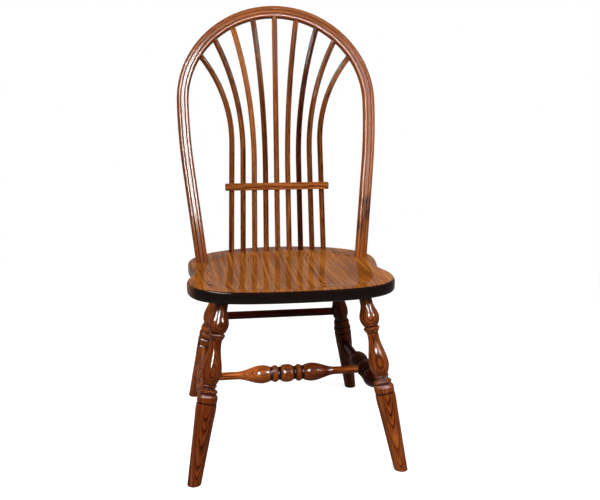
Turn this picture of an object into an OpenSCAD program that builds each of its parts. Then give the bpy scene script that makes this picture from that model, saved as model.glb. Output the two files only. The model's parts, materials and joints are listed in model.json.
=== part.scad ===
// Sheaf back side chair in stained oak: a bent bow and nine spindles over a scooped seat,
// on four splayed turned legs with an H of turned stretchers and a plain rail at the back.
// Millimetres, +Z up. The chair faces -Y, and +X is on the viewer's right.
// The origin is on the floor, under the middle of the space the chair takes up.

/* [Seat] */
// Height of the seat's flat deck above the floor
seat_h = 447; // [430:1:470]
// Thickness of the seat boards
seat_t = 32; // [30:0.5:38]
// Width across the two front lobes
seat_front_w = 495; // [485:1:520]
// Width across the two rear lobes
seat_rear_w = 482; // [472:1:500]
// Width at the waist between the lobes
seat_waist_w = 459; // [450:1:470]
// Reach of the seat in front of the bow's feet
seat_front_reach = 282; // [272:1:300]
// Reach of the seat behind the bow's feet
seat_back_reach = 145; // [138:1:160]
// Distance of the waist in front of the bow's feet
seat_waist_at = 94; // [84:1:104]
// Distance of the front lobes in front of the bow's feet
seat_lobe_at = 166; // [156:1:176]
// Depth of the scoop below the deck
scoop_depth = 8; // [4:0.5:10]
// Width of the scoop
scoop_w = 416; // [400:1:424]
// Reach of the scoop behind the bow's feet
scoop_back_reach = 66; // [56:1:72]
// Reach of the scoop in front of the bow's feet
scoop_front_reach = 258; // [250:1:268]
// Fall of the deck towards its front edge
front_fall = 3; // [0:0.5:5]
// Radius of the upper edge
seat_top_round = 9; // [5:0.5:12]
// Radius of the lower edge
seat_bottom_round = 8; // [4:0.5:10]

/* [Bow] */
// Height of the bow's top above the deck, measured along its slope
bow_rise = 654; // [630:1:680]
// Width across the outside of the bow
bow_w = 513; // [503:1:523]
// How far the middle of each foot stands in from the widest place
bow_tuck = 51; // [46:1:60]
// How much the crown's radius exceeds half the width between the middle lines
crown_flatten = 4.5; // [1:0.5:15]
// How much the shoulders' radius falls short of the same half width
shoulder_tighten = 15.5; // [6:0.5:50]
// Radius of the middle line in the gentle bend below the shoulders
bow_leg_r = 1500; // [1200:10:2000]
// Lean of the bow back from upright
bow_lean = 15.3; // [12:0.1:18]
// Width of the bow's section, seen from the front
bow_section_w = 30; // [26:0.5:34]
// Depth of the bow's section, front to back
bow_section_d = 20.5; // [18:0.5:24]
// Radius of the section's corners
bow_corner_r = 5.5; // [3:0.5:7]
// Depth of the two grooves along the front face
bow_groove_depth = 1.2; // [0.6:0.1:2]
// Width of each groove
bow_groove_w = 3; // [2:0.5:4]
// Diameter of the bow's foot tenons
bow_tenon_d = 18; // [14:0.5:19]
// Length of the bow's foot tenons
bow_tenon_l = 22; // [16:1:25]

/* [Spindles] */
// Diameter of a spindle
spindle_d = 14.2; // [11:0.1:15]
// Length of a spindle's end inside the seat or the bow
spindle_end_l = 14; // [10:0.5:16]
// Spacing of the feet along the seat
spindle_pitch = 31; // [29:0.5:33]
// Spacing where the cross slat holds them
spindle_slat_pitch = 29.9; // [28:0.1:31]
// Distance of the row of feet behind the bow's feet
spindle_row_at = 94; // [88:1:100]
// Angle between neighbouring tops, seen from the crown's centre
spindle_fan = 14; // [13:0.1:14.5]
// Length of the straight stretch of the spindles next to the middle one
spindle_straight = 205; // [195:1:230]
// Length that each further spindle stays straight for
spindle_straight_step = 26.5; // [20:0.5:30]

/* [Cross slat] */
// Height of the slat's middle above the deck
slat_up = 172; // [150:1:185]
// Length of the slat
slat_l = 275; // [262:1:290]
// Height of the slat's face
slat_face_h = 18.5; // [14:0.5:24]
// Thickness of the slat
slat_t = 10; // [8:0.5:14]
// Depth of the notches that take the spindles
slat_notch = 3; // [2:0.5:5]
// Radius of the slat's rounded corners
slat_corner_r = 3; // [1:0.5:4]

/* [Legs, shared] */
// Diameter of a leg's top, which goes into the seat
leg_top_d = 30; // [27:0.5:32]
// Depth of the leg sockets in the seat, along the leg
leg_socket = 17; // [14:0.5:17.5]
// Diameter of a leg's toe at the floor
toe_d = 31.6; // [28:0.2:36]

/* [Front legs] */
// Distance between the toes, middle to middle
front_toe_span = 489; // [470:1:510]
// Distance between the tops at the seat's underside
front_top_span = 333; // [320:1:345]
// Distance of the toes in front of the bow's feet
front_toe_at = 304; // [290:1:320]
// Distance of the tops in front of the bow's feet
front_top_at = 207; // [200:1:215]
// Diameter of the bulb under the seat
front_bulb_d = 47.4; // [43:0.2:52]
// Distance of the bulb below the seat, along the leg
front_bulb_at = 62; // [58:1:66]
// Diameter of the ring under the bulb
front_ring_d = 38.6; // [35:0.2:42]
// Diameter of the neck under the ring
front_neck_d = 26.8; // [24:0.2:30]
// Diameter of the vase
front_vase_d = 47.4; // [43:0.2:52]
// Distance of the vase's belly below the seat
front_vase_at = 176; // [170:1:182]
// Diameter of the large bead under the vase
front_bead_d = 47.8; // [44:0.2:52]
// Distance of the large bead below the seat
front_bead_at = 233; // [229:1:237]

/* [Rear legs] */
// Distance between the toes, middle to middle
rear_toe_span = 460; // [440:1:480]
// Distance between the tops at the seat's underside
rear_top_span = 297; // [285:1:305]
// Distance of the toes behind the bow's feet
rear_toe_at = 193; // [180:1:205]
// Distance of the tops behind the bow's feet
rear_top_at = 76; // [68:1:82]
// Diameter of the bulb under the seat
rear_bulb_d = 45; // [41:0.2:49]
// Distance of the bulb below the seat, along the leg
rear_bulb_at = 60; // [56:1:64]
// Diameter of the ring under the bulb
rear_ring_d = 36.6; // [33:0.2:40]
// Diameter of the neck under the ring
rear_neck_d = 27; // [24:0.2:30]
// Diameter of the vase
rear_vase_d = 44.8; // [41:0.2:49]
// Distance of the vase's belly below the seat
rear_vase_at = 164; // [159:1:169]
// Diameter of the band under the vase
rear_band_d = 47.4; // [44:0.2:51]
// Distance of the band below the seat
rear_band_at = 241; // [238:1:245]

/* [Stretchers] */
// Height of the side stretchers at the front legs
side_front_h = 176.5; // [166:0.5:186]
// Height of the side stretchers at the rear legs
side_rear_h = 158; // [148:0.5:168]
// Distance of the medial stretcher in front of the bow's feet
medial_at = 84; // [60:1:100]
// Diameter of the ball in the middle of a turned stretcher
ball_d = 45.5; // [42:0.5:48]
// Diameter of the rings beside the ball
stretcher_ring_d = 43.5; // [40:0.5:46]
// Diameter of the coves between ball, rings and vases
cove_d = 33; // [28:0.5:36]
// Diameter of a stretcher's vases
stretcher_vase_d = 46.6; // [42:0.2:48]
// Diameter of a stretcher's slim ends
stretcher_end_d = 19.8; // [18:0.2:22]
// Height of the rear rail above the floor
rail_h = 260.5; // [250:0.5:272]
// Diameter of the rear rail
rail_d = 21.4; // [18:0.2:23]
// How far a stretcher's tenon stops short of the middle of what it enters
tenon_stop = 4; // [3:0.5:6]

/* [Fits] */
// Glue gap round a tenon
glue_gap = 0.15; // [0.1:0.05:0.3]
// Gap past the end of a tenon
end_gap = 0.5; // [0.3:0.1:1]

/* [Hidden] */
$fn = 64;

// A bent stretch is this much slimmer all round than the stretch that it runs into, and reaches
// this far inside it, so that two skins that are tangent there cross cleanly
seam = 0.05;
seam_reach = 2;

spindle_count = 9;
spindle_mid = (spindle_count + 1) / 2;
oak = "#8a5130";
dark_oak = "#6e3d22";

// Heights that everything hangs from
seat_under = seat_h - seat_t;

// Leg lines, from the middle of the top at the seat's underside to the middle of the toe
function front_top(s) = [s * front_top_span / 2, -front_top_at, seat_under];
function front_toe(s) = [s * front_toe_span / 2, -front_toe_at, 0];
function rear_top(s) = [s * rear_top_span / 2, rear_top_at, seat_under];
function rear_toe(s) = [s * rear_toe_span / 2, rear_toe_at, 0];
function at_height(top, toe, h) = toe + (top - toe) * h / (top.z - toe.z);

// The floor contact reaches a little past each toe's middle line, because the legs slant
function toe_reach(top, toe) = toe_d / 2 * sqrt(1 + pow((top.y - toe.y) / (top.z - toe.z), 2));
back_edge = rear_toe_at + toe_reach(rear_top(1), rear_toe(1));
front_edge = front_toe_at + toe_reach(front_top(1), front_toe(1));

// The bow's feet stand on the line y = 0 of the pieces below, and this puts the origin midway
mid_shift = (front_edge - back_edge) / 2;

// Bow plane: u runs across the chair, v up the slope from the deck
function on_bow(u, v) = [u, v * sin(bow_lean), seat_h + v * cos(bow_lean)];
bow_half = (bow_w - bow_section_w) / 2;
bow_foot_span = bow_w - 2 * bow_tuck;
bow_crown_r = bow_half + crown_flatten;
bow_shoulder_r = bow_half - shoulder_tighten;
crown_v = bow_rise - bow_section_w / 2 - bow_crown_r;
crown_turn = asin((bow_half - bow_shoulder_r) / (bow_crown_r - bow_shoulder_r));
shoulder_u = (bow_crown_r - bow_shoulder_r) * sin(crown_turn);
shoulder_v = crown_v + (bow_crown_r - bow_shoulder_r) * cos(crown_turn);
leg_bend_u = bow_half - bow_leg_r;
foot_du = bow_foot_span / 2 - leg_bend_u;
leg_turn = atan2(shoulder_v, foot_du) - acos(bow_leg_r / norm([foot_du, shoulder_v]));
leg_bend_end = [leg_bend_u + bow_leg_r * cos(leg_turn), shoulder_v - bow_leg_r * sin(leg_turn)];

// Spindle lines. The middle spindle is straight, and its slope is the lean of every straight stretch
function spindle_foot(k) = [k * spindle_pitch, spindle_row_at, seat_h];
function spindle_top(k) =
    let (r = bow_crown_r - bow_section_w / 2)
    on_bow(r * sin(k * spindle_fan), crown_v + r * cos(k * spindle_fan));
middle_line = spindle_top(0) - spindle_foot(0);
spindle_slope = middle_line.y / middle_line.z;
function unit(v) = v / norm(v);
function spindle_rise(k) =
    unit([k * (spindle_slat_pitch - spindle_pitch) / slat_up, spindle_slope, 1]);
function spindle_run(k) = spindle_straight + spindle_straight_step * (abs(k) - 1);
function spindle_bend(k) = spindle_foot(k) + spindle_run(k) * spindle_rise(k);
slat_y = spindle_row_at + slat_up * spindle_slope;

// Where the seat's edge runs: a smooth curve through the back, lobes, waist and front,
// drawn with cubic curves that cross those five places square to the chair's axes
back_shape = [154, 72];
waist_back_shape = [38, 16];
waist_front_shape = [16, 31];
front_shape = [95, 170];
rear_lobe_at = -2;
edge_steps = 14;
function cubic(a, b, c, d, t) =
    pow(1 - t, 3) * a + 3 * pow(1 - t, 2) * t * b + 3 * (1 - t) * t * t * c + t * t * t * d;
function half_edge() =
    let (
        b = [0, seat_back_reach],
        r = [seat_rear_w / 2, -rear_lobe_at],
        w = [seat_waist_w / 2, -seat_waist_at],
        l = [seat_front_w / 2, -seat_lobe_at],
        f = [0, -seat_front_reach],
        n = edge_steps
    )
    concat(
        [for (i = [0:n - 1]) cubic(b, b + [back_shape.x, 0], r + [0, back_shape.y], r, i / n)],
        [for (i = [0:n / 2 - 1])
            cubic(r, r - [0, waist_back_shape.x], w + [0, waist_back_shape.y], w, 2 * i / n)],
        [for (i = [0:n / 2 - 1])
            cubic(w, w - [0, waist_front_shape.x], l + [0, waist_front_shape.y], l, 2 * i / n)],
        [for (i = [0:n]) cubic(l, l - [0, front_shape.x], f + [front_shape.y, 0], f, i / n)]
    );
function whole_edge() =
    let (h = half_edge(), n = len(h))
    concat(h, [for (i = [n - 2:-1:1]) [-h[i].x, h[i].y]]);

// The scoop's rim: a squarish oval, full across the seat and softened at its corners
scoop_power = 3.2;
scoop_mid = (scoop_back_reach - scoop_front_reach) / 2;
scoop_half = (scoop_back_reach + scoop_front_reach) / 2;
function scoop_rim(p) =
    let (d = p - [0, scoop_mid])
    [0, scoop_mid] + d / pow(
        pow(abs(d.x) / (scoop_w / 2), scoop_power) + pow(abs(d.y) / scoop_half, scoop_power),
        1 / scoop_power
    );
function ramp(t) = let (c = min(1, max(0, t))) c * c * (3 - 2 * c);
fall_from = -60;
function deck_z(y) = seat_h - front_fall * ramp((fall_from - y) / (seat_front_reach + fall_from));

// Rings of the seat's skin, from the middle of the underside round the edge to the scoop's middle
round_steps = 3;
scoop_rings = [[1, 0], [0.94, 0.22], [0.86, 0.55], [0.74, 0.82], [0.55, 0.96], [0.3, 1]];
function edge_inward(e, i) =
    let (m = len(e), t = unit(e[(i + 1) % m] - e[(i + m - 1) % m]))
    [t.y, -t.x];
function seat_rings() =
    let (
        e = whole_edge(),
        m = len(e),
        inward = [for (i = [0:m - 1]) edge_inward(e, i)]
    )
    concat(
        [for (j = [0:round_steps])
            let (a = 90 * j / round_steps, r = seat_bottom_round)
            [for (i = [0:m - 1])
                let (p = e[i] + inward[i] * r * (1 - sin(a)))
                [p.x, p.y, seat_under + r * (1 - cos(a))]]],
        [for (j = [0:round_steps + 1])
            let (a = 90 * j / (round_steps + 1), r = seat_top_round)
            [for (i = [0:m - 1])
                let (p = e[i] + inward[i] * r * (1 - cos(a)))
                [p.x, p.y, deck_z(p.y) - r * (1 - sin(a))]]],
        [for (k = scoop_rings)
            [for (i = [0:m - 1])
                let (q = scoop_rim(e[i]), p = [0, scoop_mid] + (q - [0, scoop_mid]) * k[0])
                [p.x, p.y, deck_z(p.y) - scoop_depth * k[1]]]]
    );
module seat_skin() {
    rings = seat_rings();
    n = len(rings);
    m = len(rings[0]);
    points = concat(
        [for (r = rings) each r],
        [[0, scoop_mid, seat_under], [0, scoop_mid, deck_z(scoop_mid) - scoop_depth]]
    );
    walls = [for (j = [0:n - 2], i = [0:m - 1])
        let (a = j * m + i, b = j * m + (i + 1) % m)
        each [[a, b, b + m], [a, b + m, a + m]]];
    caps = [for (i = [0:m - 1])
        let (k = (i + 1) % m)
        each [[n * m, k, i], [n * m + 1, (n - 1) * m + i, (n - 1) * m + k]]];
    polyhedron(points = points, faces = concat(walls, caps));
}

// Places its children at a point, with their z axis along a direction. The quarter turn sets the
// seam of a round surface to one side of its slant, where a slanted cut crosses it cleanly
module along(p, d) {
    translate(p)
        rotate([0, acos(d.z / norm(d)), atan2(d.y, d.x)])
            rotate([0, 0, 90])
                children();
}

// A turning is a list of stations [distance, radius, way in]. The way in is how the lathe's tool
// gets there from the station before: 0 straight, 1 in an S, 2 swelling out, 3 falling away
turn_step = 4;
least_steps = 4;
function way_in(w, t) =
    w == 1 ? (1 - cos(180 * t)) / 2 : w == 2 ? sin(90 * t) : w == 3 ? 1 - cos(90 * t) : t;
function turned_line(s) = concat(
    [[s[0][1], s[0][0]]],
    [for (i = [1:len(s) - 1])
        let (
            a = s[i - 1],
            b = s[i],
            n = b[2] == 0 ? 1 : max(least_steps, ceil((b[0] - a[0]) / turn_step))
        )
        for (j = [1:n]) [a[1] + (b[1] - a[1]) * way_in(b[2], j / n), a[0] + (b[0] - a[0]) * j / n]]
);
module turning(stations) {
    line = turned_line(stations);
    rotate_extrude()
        polygon(concat([[0, line[0].y]], line, [[0, line[len(line) - 1].y]]));
}

// The ring that closes a leg's bulb: a groove, a rounded ring, a fillet and a cove into the neck
function bulb_ring(at, neck, ring) = [
    [at - 6, neck + 4.4, 3],
    [at - 4.6, neck + 1.8, 0],
    [at - 3.2, neck + 1.8, 0],
    [at - 2, ring - 1.6, 0],
    [at + 1, ring, 2],
    [at + 4, ring - 1.6, 3],
    [at + 5, neck + 3.6, 0],
    [at + 8.5, neck + 2.8, 0],
    [at + 12, neck, 1]
];
// A narrow V groove between two radii
function v_groove(at, before, depth, after) =
    [[at - 1.9, before, 0], [at, min(before, after) - depth, 0], [at + 1.9, after, 0]];

// Front leg, from its end in the seat to past the floor
front_len = norm(front_toe(1) - front_top(1));
bulb_rise = 35;
ring_below_bulb = 25;
neck_below_bulb = 45;
foot_below_bead = 20;
past_floor = 8;
function front_stations() =
    let (
        b = front_bulb_at,
        v = front_vase_at,
        g = front_bead_at,
        vase = front_vase_d / 2,
        bead = front_bead_d / 2
    )
    concat(
        [
            [-leg_socket + end_gap, leg_top_d / 2, 0],
            [b - bulb_rise, leg_top_d / 2, 0],
            [b, front_bulb_d / 2, 1]
        ],
        bulb_ring(b + ring_below_bulb, front_neck_d / 2, front_ring_d / 2),
        [
            [b + neck_below_bulb, front_neck_d / 2, 0],
            [v, vase, 1],
            [v + 24, vase - 7.4, 3],
            [v + 25.5, vase - 8.2, 0],
            [v + 28.5, vase - 6, 2],
            [v + 31.5, vase - 8.6, 3],
            [g - 22.5, bead - 9.6, 1],
            [g - 18, bead - 3.8, 3],
            [g - 15, bead - 2.4, 2],
            [g - 12, bead - 3.6, 3],
            [g - 10.6, bead - 6, 0],
            [g - 9.6, bead - 6, 0],
            [g - 8.4, bead - 3.6, 0],
            [g - 1, bead, 2]
        ],
        v_groove(g + 12, bead - 0.6, 2.1, bead - 0.5),
        [
            [g + foot_below_bead, bead, 0],
            [g + foot_below_bead + 30, bead - 1.4, 3],
            [front_len, toe_d / 2, 0],
            [front_len + past_floor, toe_d / 2, 0]
        ]
    );

// Rear leg: the same order of turnings, with two broad rings and a band in place of the bead
rear_len = norm(rear_toe(1) - rear_top(1));
function rear_stations() =
    let (
        b = rear_bulb_at,
        v = rear_vase_at,
        g = rear_band_at,
        vase = rear_vase_d / 2,
        band = rear_band_d / 2
    )
    concat(
        [
            [-leg_socket + end_gap, leg_top_d / 2, 0],
            [b - bulb_rise, leg_top_d / 2, 0],
            [b, rear_bulb_d / 2, 1]
        ],
        bulb_ring(b + ring_below_bulb, rear_neck_d / 2, rear_ring_d / 2),
        [
            [b + neck_below_bulb, rear_neck_d / 2, 0],
            [v, vase, 1],
            [v + 24, vase - 5.6, 3],
            [g - 50, vase - 6.2, 0],
            [g - 48.5, vase - 4, 0],
            [g - 38, band - 1.9, 2],
            [g - 32.4, band - 2.6, 3]
        ],
        v_groove(g - 30, band - 2.8, 2.4, band - 2.6),
        [
            [g - 20, band, 2],
            [g - 12.4, band - 1.4, 3]
        ],
        v_groove(g - 10, band - 1.6, 2.4, band - 1.4),
        [[g - 3, band, 2]],
        v_groove(g + 12, band - 0.7, 2, band - 0.8),
        [
            [g + foot_below_bead, band - 1, 0],
            [g + foot_below_bead + 34, band - 2.6, 3],
            [rear_len, toe_d / 2, 0],
            [rear_len + past_floor, toe_d / 2, 0]
        ]
    );

// Side stretcher lines, from the front leg's middle line to the rear leg's
function side_front(s) = at_height(front_top(s), front_toe(s), side_front_h);
function side_rear(s) = at_height(rear_top(s), rear_toe(s), side_rear_h);
function side_ball(s) =
    let (a = side_front(s), b = side_rear(s))
    a + (b - a) * (-medial_at - a.y) / (b.y - a.y);

// Half of a turned stretcher, from the middle of its ball out to the end of its tenon
slim_from = 127;
function half_stretcher(reach) = [
    [0, ball_d / 2, 0],
    [9, ball_d / 2 - 1, 3],
    [15.5, cove_d / 2 + 1.5, 3],
    [20.5, cove_d / 2, 1],
    [25.5, stretcher_ring_d / 2 - 1.6, 1],
    [31, stretcher_ring_d / 2, 2],
    [36, stretcher_ring_d / 2 - 2.4, 3],
    [41, cove_d / 2 + 1, 1],
    [47, stretcher_vase_d / 2 - 3, 1],
    [63, stretcher_vase_d / 2, 2],
    [slim_from, stretcher_end_d / 2, 1],
    [reach, stretcher_end_d / 2, 0]
];
module turned_stretcher(a, middle, b) {
    a_reach = norm(a - middle) - tenon_stop;
    b_reach = norm(b - middle) - tenon_stop;
    a_line = turned_line(half_stretcher(a_reach));
    b_line = turned_line(half_stretcher(b_reach));
    along(middle, b - a)
        rotate_extrude()
            polygon(concat(
                [[0, -a_reach]],
                [for (i = [len(a_line) - 1:-1:1]) [a_line[i].x, -a_line[i].y]],
                b_line,
                [[0, b_reach]]
            ));
}
// Bores towards a middle line, from another place, for a tenon that stops short of that line
module socket(from, to, d) {
    along(to, from - to)
        translate([0, 0, tenon_stop - end_gap])
            cylinder(d = d + 2 * glue_gap, h = norm(from - to) - tenon_stop);
}

// Floor, as the space under the chair that the toes are cut flat against
module below_floor() {
    translate([-seat_front_w, -seat_front_w, -50])
        cube([2 * seat_front_w, 2 * seat_front_w, 50]);
}

module leg_sockets() {
    for (s = [-1, 1]) {
        along(front_top(s), front_top(s) - front_toe(s))
            translate([0, 0, -seat_t])
                cylinder(d = leg_top_d + 2 * glue_gap, h = leg_socket + seat_t);
        along(rear_top(s), rear_top(s) - rear_toe(s))
            translate([0, 0, -seat_t])
                cylinder(d = leg_top_d + 2 * glue_gap, h = leg_socket + seat_t);
    }
}

// The bow's foot: its middle on the deck and the direction it stands in
function bow_foot(s) = on_bow(s * bow_foot_span / 2, 0);
function bow_foot_dir(s) = unit(on_bow(s * leg_bend_end.x, leg_bend_end.y) - bow_foot(s));

module bow_sockets() {
    for (s = [-1, 1])
        along(bow_foot(s), bow_foot_dir(s))
            translate([0, 0, -bow_tenon_l - end_gap])
                cylinder(d = bow_tenon_d + 2 * glue_gap, h = 2 * bow_tenon_l);
}

module spindle_sockets() {
    for (k = [1 - spindle_mid:spindle_count - spindle_mid])
        along(spindle_foot(k), spindle_line(k))
            translate([0, 0, -spindle_end_l - end_gap])
                cylinder(d = spindle_d + 2 * glue_gap, h = 3 * spindle_end_l);
}
function spindle_line(k) = k == 0 ? middle_line : spindle_rise(k);

// Seat boards: glue lines run front to back, clear of every socket
glue_line_1 = 2.5 * spindle_pitch;
glue_line_2 = (front_top_span / 2 + leg_top_d / 2 + bow_foot_span / 2 - bow_tenon_d / 2) / 2;
glue_lines = [-seat_front_w, -glue_line_2, -glue_line_1, glue_line_1, glue_line_2, seat_front_w];
module seat_board(i) {
    color(i % 2 == 0 ? dark_oak : oak)
        difference() {
            intersection() {
                seat_skin();
                translate([glue_lines[i - 1], -2 * seat_front_reach, 0])
                    cube([glue_lines[i] - glue_lines[i - 1], 4 * seat_front_reach, 2 * seat_h]);
            }
            leg_sockets();
            bow_sockets();
            spindle_sockets();
        }
}

// The bow's section in its own plane: x across the face, y towards the back, made slimmer by g
groove_at = bow_section_w / 6;
corner_steps = 3;
function corner(c, r, a0) =
    [for (j = [0:corner_steps]) let (a = a0 + 90 * j / corner_steps) c + r * [cos(a), sin(a)]];
function groove(x, face) = [
    [x - bow_groove_w / 2, face],
    [x, face + bow_groove_depth],
    [x + bow_groove_w / 2, face]
];
function bow_section(g) =
    let (
        x = bow_section_w / 2 - bow_corner_r - g,
        y = bow_section_d / 2 - bow_corner_r - g,
        face = g - bow_section_d / 2
    )
    concat(
        corner([x, y], bow_corner_r, 0),
        corner([-x, y], bow_corner_r, 90),
        corner([-x, -y], bow_corner_r, 180),
        groove(-groove_at, face),
        groove(groove_at, face),
        corner([x, -y], bow_corner_r, 270)
    );
// An arc of the bow in its plane: centre, radius, first angle above the u axis, turn, slimness
module bow_arc(c, r, from, turn, g) {
    more = g > 0 ? seam_reach / r * 180 / PI : 0;
    translate([c.x, 0, c.y])
        rotate([90, 0, 0])
            rotate_extrude(angle = turn + 2 * more, start = from - more, $fn = 256)
                translate([r, 0])
                    mirror([0, 1])
                        polygon(bow_section(g));
}
module bow_leg() {
    bow_arc([shoulder_u, shoulder_v], bow_shoulder_r, 0, 90 - crown_turn, seam);
    bow_arc([leg_bend_u, shoulder_v], bow_leg_r, -leg_turn, leg_turn, 0);
    translate([leg_bend_end.x, 0, leg_bend_end.y])
        rotate([0, 180 + leg_turn, 0])
            translate([0, 0, -seam_reach])
                linear_extrude(leg_bend_end.y / cos(leg_turn) + bow_section_w)
                    mirror([1, 0])
                        polygon(bow_section(seam));
}
module bow() {
    color(oak)
        union() {
            difference() {
                translate([0, 0, seat_h])
                    rotate([-bow_lean, 0, 0]) {
                        bow_arc([0, crown_v], bow_crown_r, 90 - crown_turn, 2 * crown_turn, 0);
                        bow_leg();
                        mirror([1, 0, 0])
                            bow_leg();
                    }
                translate([-bow_w, -bow_w, seat_under - seat_t])
                    cube([2 * bow_w, 2 * bow_w, 2 * seat_t]);
                for (k = [1 - spindle_mid:spindle_count - spindle_mid])
                    along(spindle_top(k), spindle_end_dir(k))
                        translate([0, 0, -spindle_d])
                            cylinder(
                                d = spindle_d + 2 * glue_gap,
                                h = spindle_d + spindle_end_l + end_gap
                            );
            }
            for (s = [-1, 1])
                along(bow_foot(s), bow_foot_dir(s))
                    translate([0, 0, -bow_tenon_l])
                        cylinder(d = bow_tenon_d, h = bow_tenon_l + bow_section_d);
        }
}

// A bent spindle lies in one plane. Its frame has z along the straight stretch and x outwards
function spindle_chord(k) = spindle_top(k) - spindle_bend(k);
function spindle_out(k) =
    let (u = spindle_rise(k), c = spindle_chord(k))
    unit(c - u * (c * u));
function spindle_angle(k) =
    let (c = spindle_chord(k))
    2 * atan2(c * spindle_out(k), c * spindle_rise(k));
function spindle_radius(k) =
    let (c = spindle_chord(k))
    (c * c) / (2 * (c * spindle_out(k)));
function spindle_end_dir(k) =
    k == 0 ? unit(middle_line)
    : cos(spindle_angle(k)) * spindle_rise(k) + sin(spindle_angle(k)) * spindle_out(k);
module in_frame(p, x, z) {
    y = cross(z, x);
    multmatrix([
        [x.x, y.x, z.x, p.x],
        [x.y, y.y, z.y, p.y],
        [x.z, y.z, z.z, p.z]
    ])
        children();
}
module spindle(k) {
    color(k % 2 == 0 ? oak : dark_oak)
        if (k == 0)
            along(spindle_foot(k), middle_line)
                translate([0, 0, -spindle_end_l])
                    cylinder(d = spindle_d, h = norm(middle_line) + 2 * spindle_end_l);
        else
            in_frame(spindle_foot(k), spindle_out(k), spindle_rise(k))
                bent_spindle(spindle_run(k), spindle_radius(k), spindle_angle(k));
}
// Straight from the seat, round one arc, and straight on into the bow
module bent_spindle(run, r, angle) {
    more = seam_reach / r * 180 / PI;
    translate([0, 0, -spindle_end_l])
        cylinder(d = spindle_d, h = spindle_end_l + run);
    translate([r, 0, run]) {
        rotate([90, 0, 0])
            rotate_extrude(angle = angle + 2 * more, start = 180 - angle - more)
                translate([r, 0])
                    circle(d = spindle_d - 2 * seam);
        rotate([0, angle, 0])
            translate([-r, 0, 0])
                cylinder(d = spindle_d, h = spindle_end_l);
    }
}

function slat_face() =
    let (x = slat_l / 2 - slat_corner_r, z = slat_face_h / 2 - slat_corner_r)
    concat(
        corner([x, z], slat_corner_r, 0),
        corner([-x, z], slat_corner_r, 90),
        corner([-x, -z], slat_corner_r, 180),
        corner([x, -z], slat_corner_r, 270)
    );
module cross_slat() {
    color(dark_oak)
        difference() {
            translate([0, slat_y - spindle_d / 2 + slat_notch, seat_h + slat_up])
                rotate([90, 0, 0])
                    linear_extrude(slat_t)
                        polygon(slat_face());
            for (k = [1 - spindle_mid:spindle_count - spindle_mid])
                along(spindle_foot(k), spindle_line(k))
                    cylinder(d = spindle_d + 2 * glue_gap, h = 2 * slat_up);
        }
}

module front_leg(s) {
    color(oak)
        difference() {
            along(front_top(s), front_toe(s) - front_top(s))
                turning(front_stations());
            below_floor();
            socket(side_rear(s), side_front(s), stretcher_end_d);
        }
}
module rear_leg(s) {
    color(oak)
        difference() {
            along(rear_top(s), rear_toe(s) - rear_top(s))
                turning(rear_stations());
            below_floor();
            socket(side_front(s), side_rear(s), stretcher_end_d);
            socket(rail_point(-s), rail_point(s), rail_d);
        }
}

module side_stretcher(s) {
    color(dark_oak)
        difference() {
            turned_stretcher(side_front(s), side_ball(s), side_rear(s));
            socket(side_ball(-s), side_ball(s), stretcher_end_d);
        }
}
module medial_stretcher() {
    color(oak)
        turned_stretcher(side_ball(-1), (side_ball(-1) + side_ball(1)) / 2, side_ball(1));
}

function rail_point(s) = at_height(rear_top(s), rear_toe(s), rail_h);
module rear_rail() {
    color(dark_oak)
        along(rail_point(-1), rail_point(1) - rail_point(-1))
            translate([0, 0, tenon_stop])
                cylinder(d = rail_d, h = norm(rail_point(1) - rail_point(-1)) - 2 * tenon_stop);
}

module placed() {
    translate([0, mid_shift, 0])
        children();
}

placed() seat_board(1);  // seat_board_1
placed() seat_board(2);  // seat_board_2
placed() seat_board(3);  // seat_board_3
placed() seat_board(4);  // seat_board_4
placed() seat_board(5);  // seat_board_5
placed() bow();
placed() spindle(-4);  // spindle_1
placed() spindle(-3);  // spindle_2
placed() spindle(-2);  // spindle_3
placed() spindle(-1);  // spindle_4
placed() spindle(0);  // spindle_5
placed() spindle(1);  // spindle_6
placed() spindle(2);  // spindle_7
placed() spindle(3);  // spindle_8
placed() spindle(4);  // spindle_9
placed() cross_slat();
placed() front_leg(-1);  // front_leg_left
placed() front_leg(1);  // front_leg_right
placed() rear_leg(-1);  // rear_leg_left
placed() rear_leg(1);  // rear_leg_right
placed() side_stretcher(-1);  // side_stretcher_left
placed() side_stretcher(1);  // side_stretcher_right
placed() medial_stretcher();
placed() rear_rail();
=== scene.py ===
# %% [markdown]
# # A sheaf back chair in stained oak
# This lesson dresses a finished construction model of a wooden side chair. The chair has a steam-bent
# bow, nine thin spindles that spread like a tied sheaf, a scooped solid seat, and four splayed turned
# legs with an H of turned stretchers. Every wooden piece is made again here, finer than the
# construction solid that it stands for, and each one carries a map of the tree it was cut from, so
# that the grain runs as it does in real oak.

# %% Load the construction model
import json
import math
from contextlib import contextmanager

import bmesh
import bpy
from mathutils import Matrix, Vector

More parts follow.
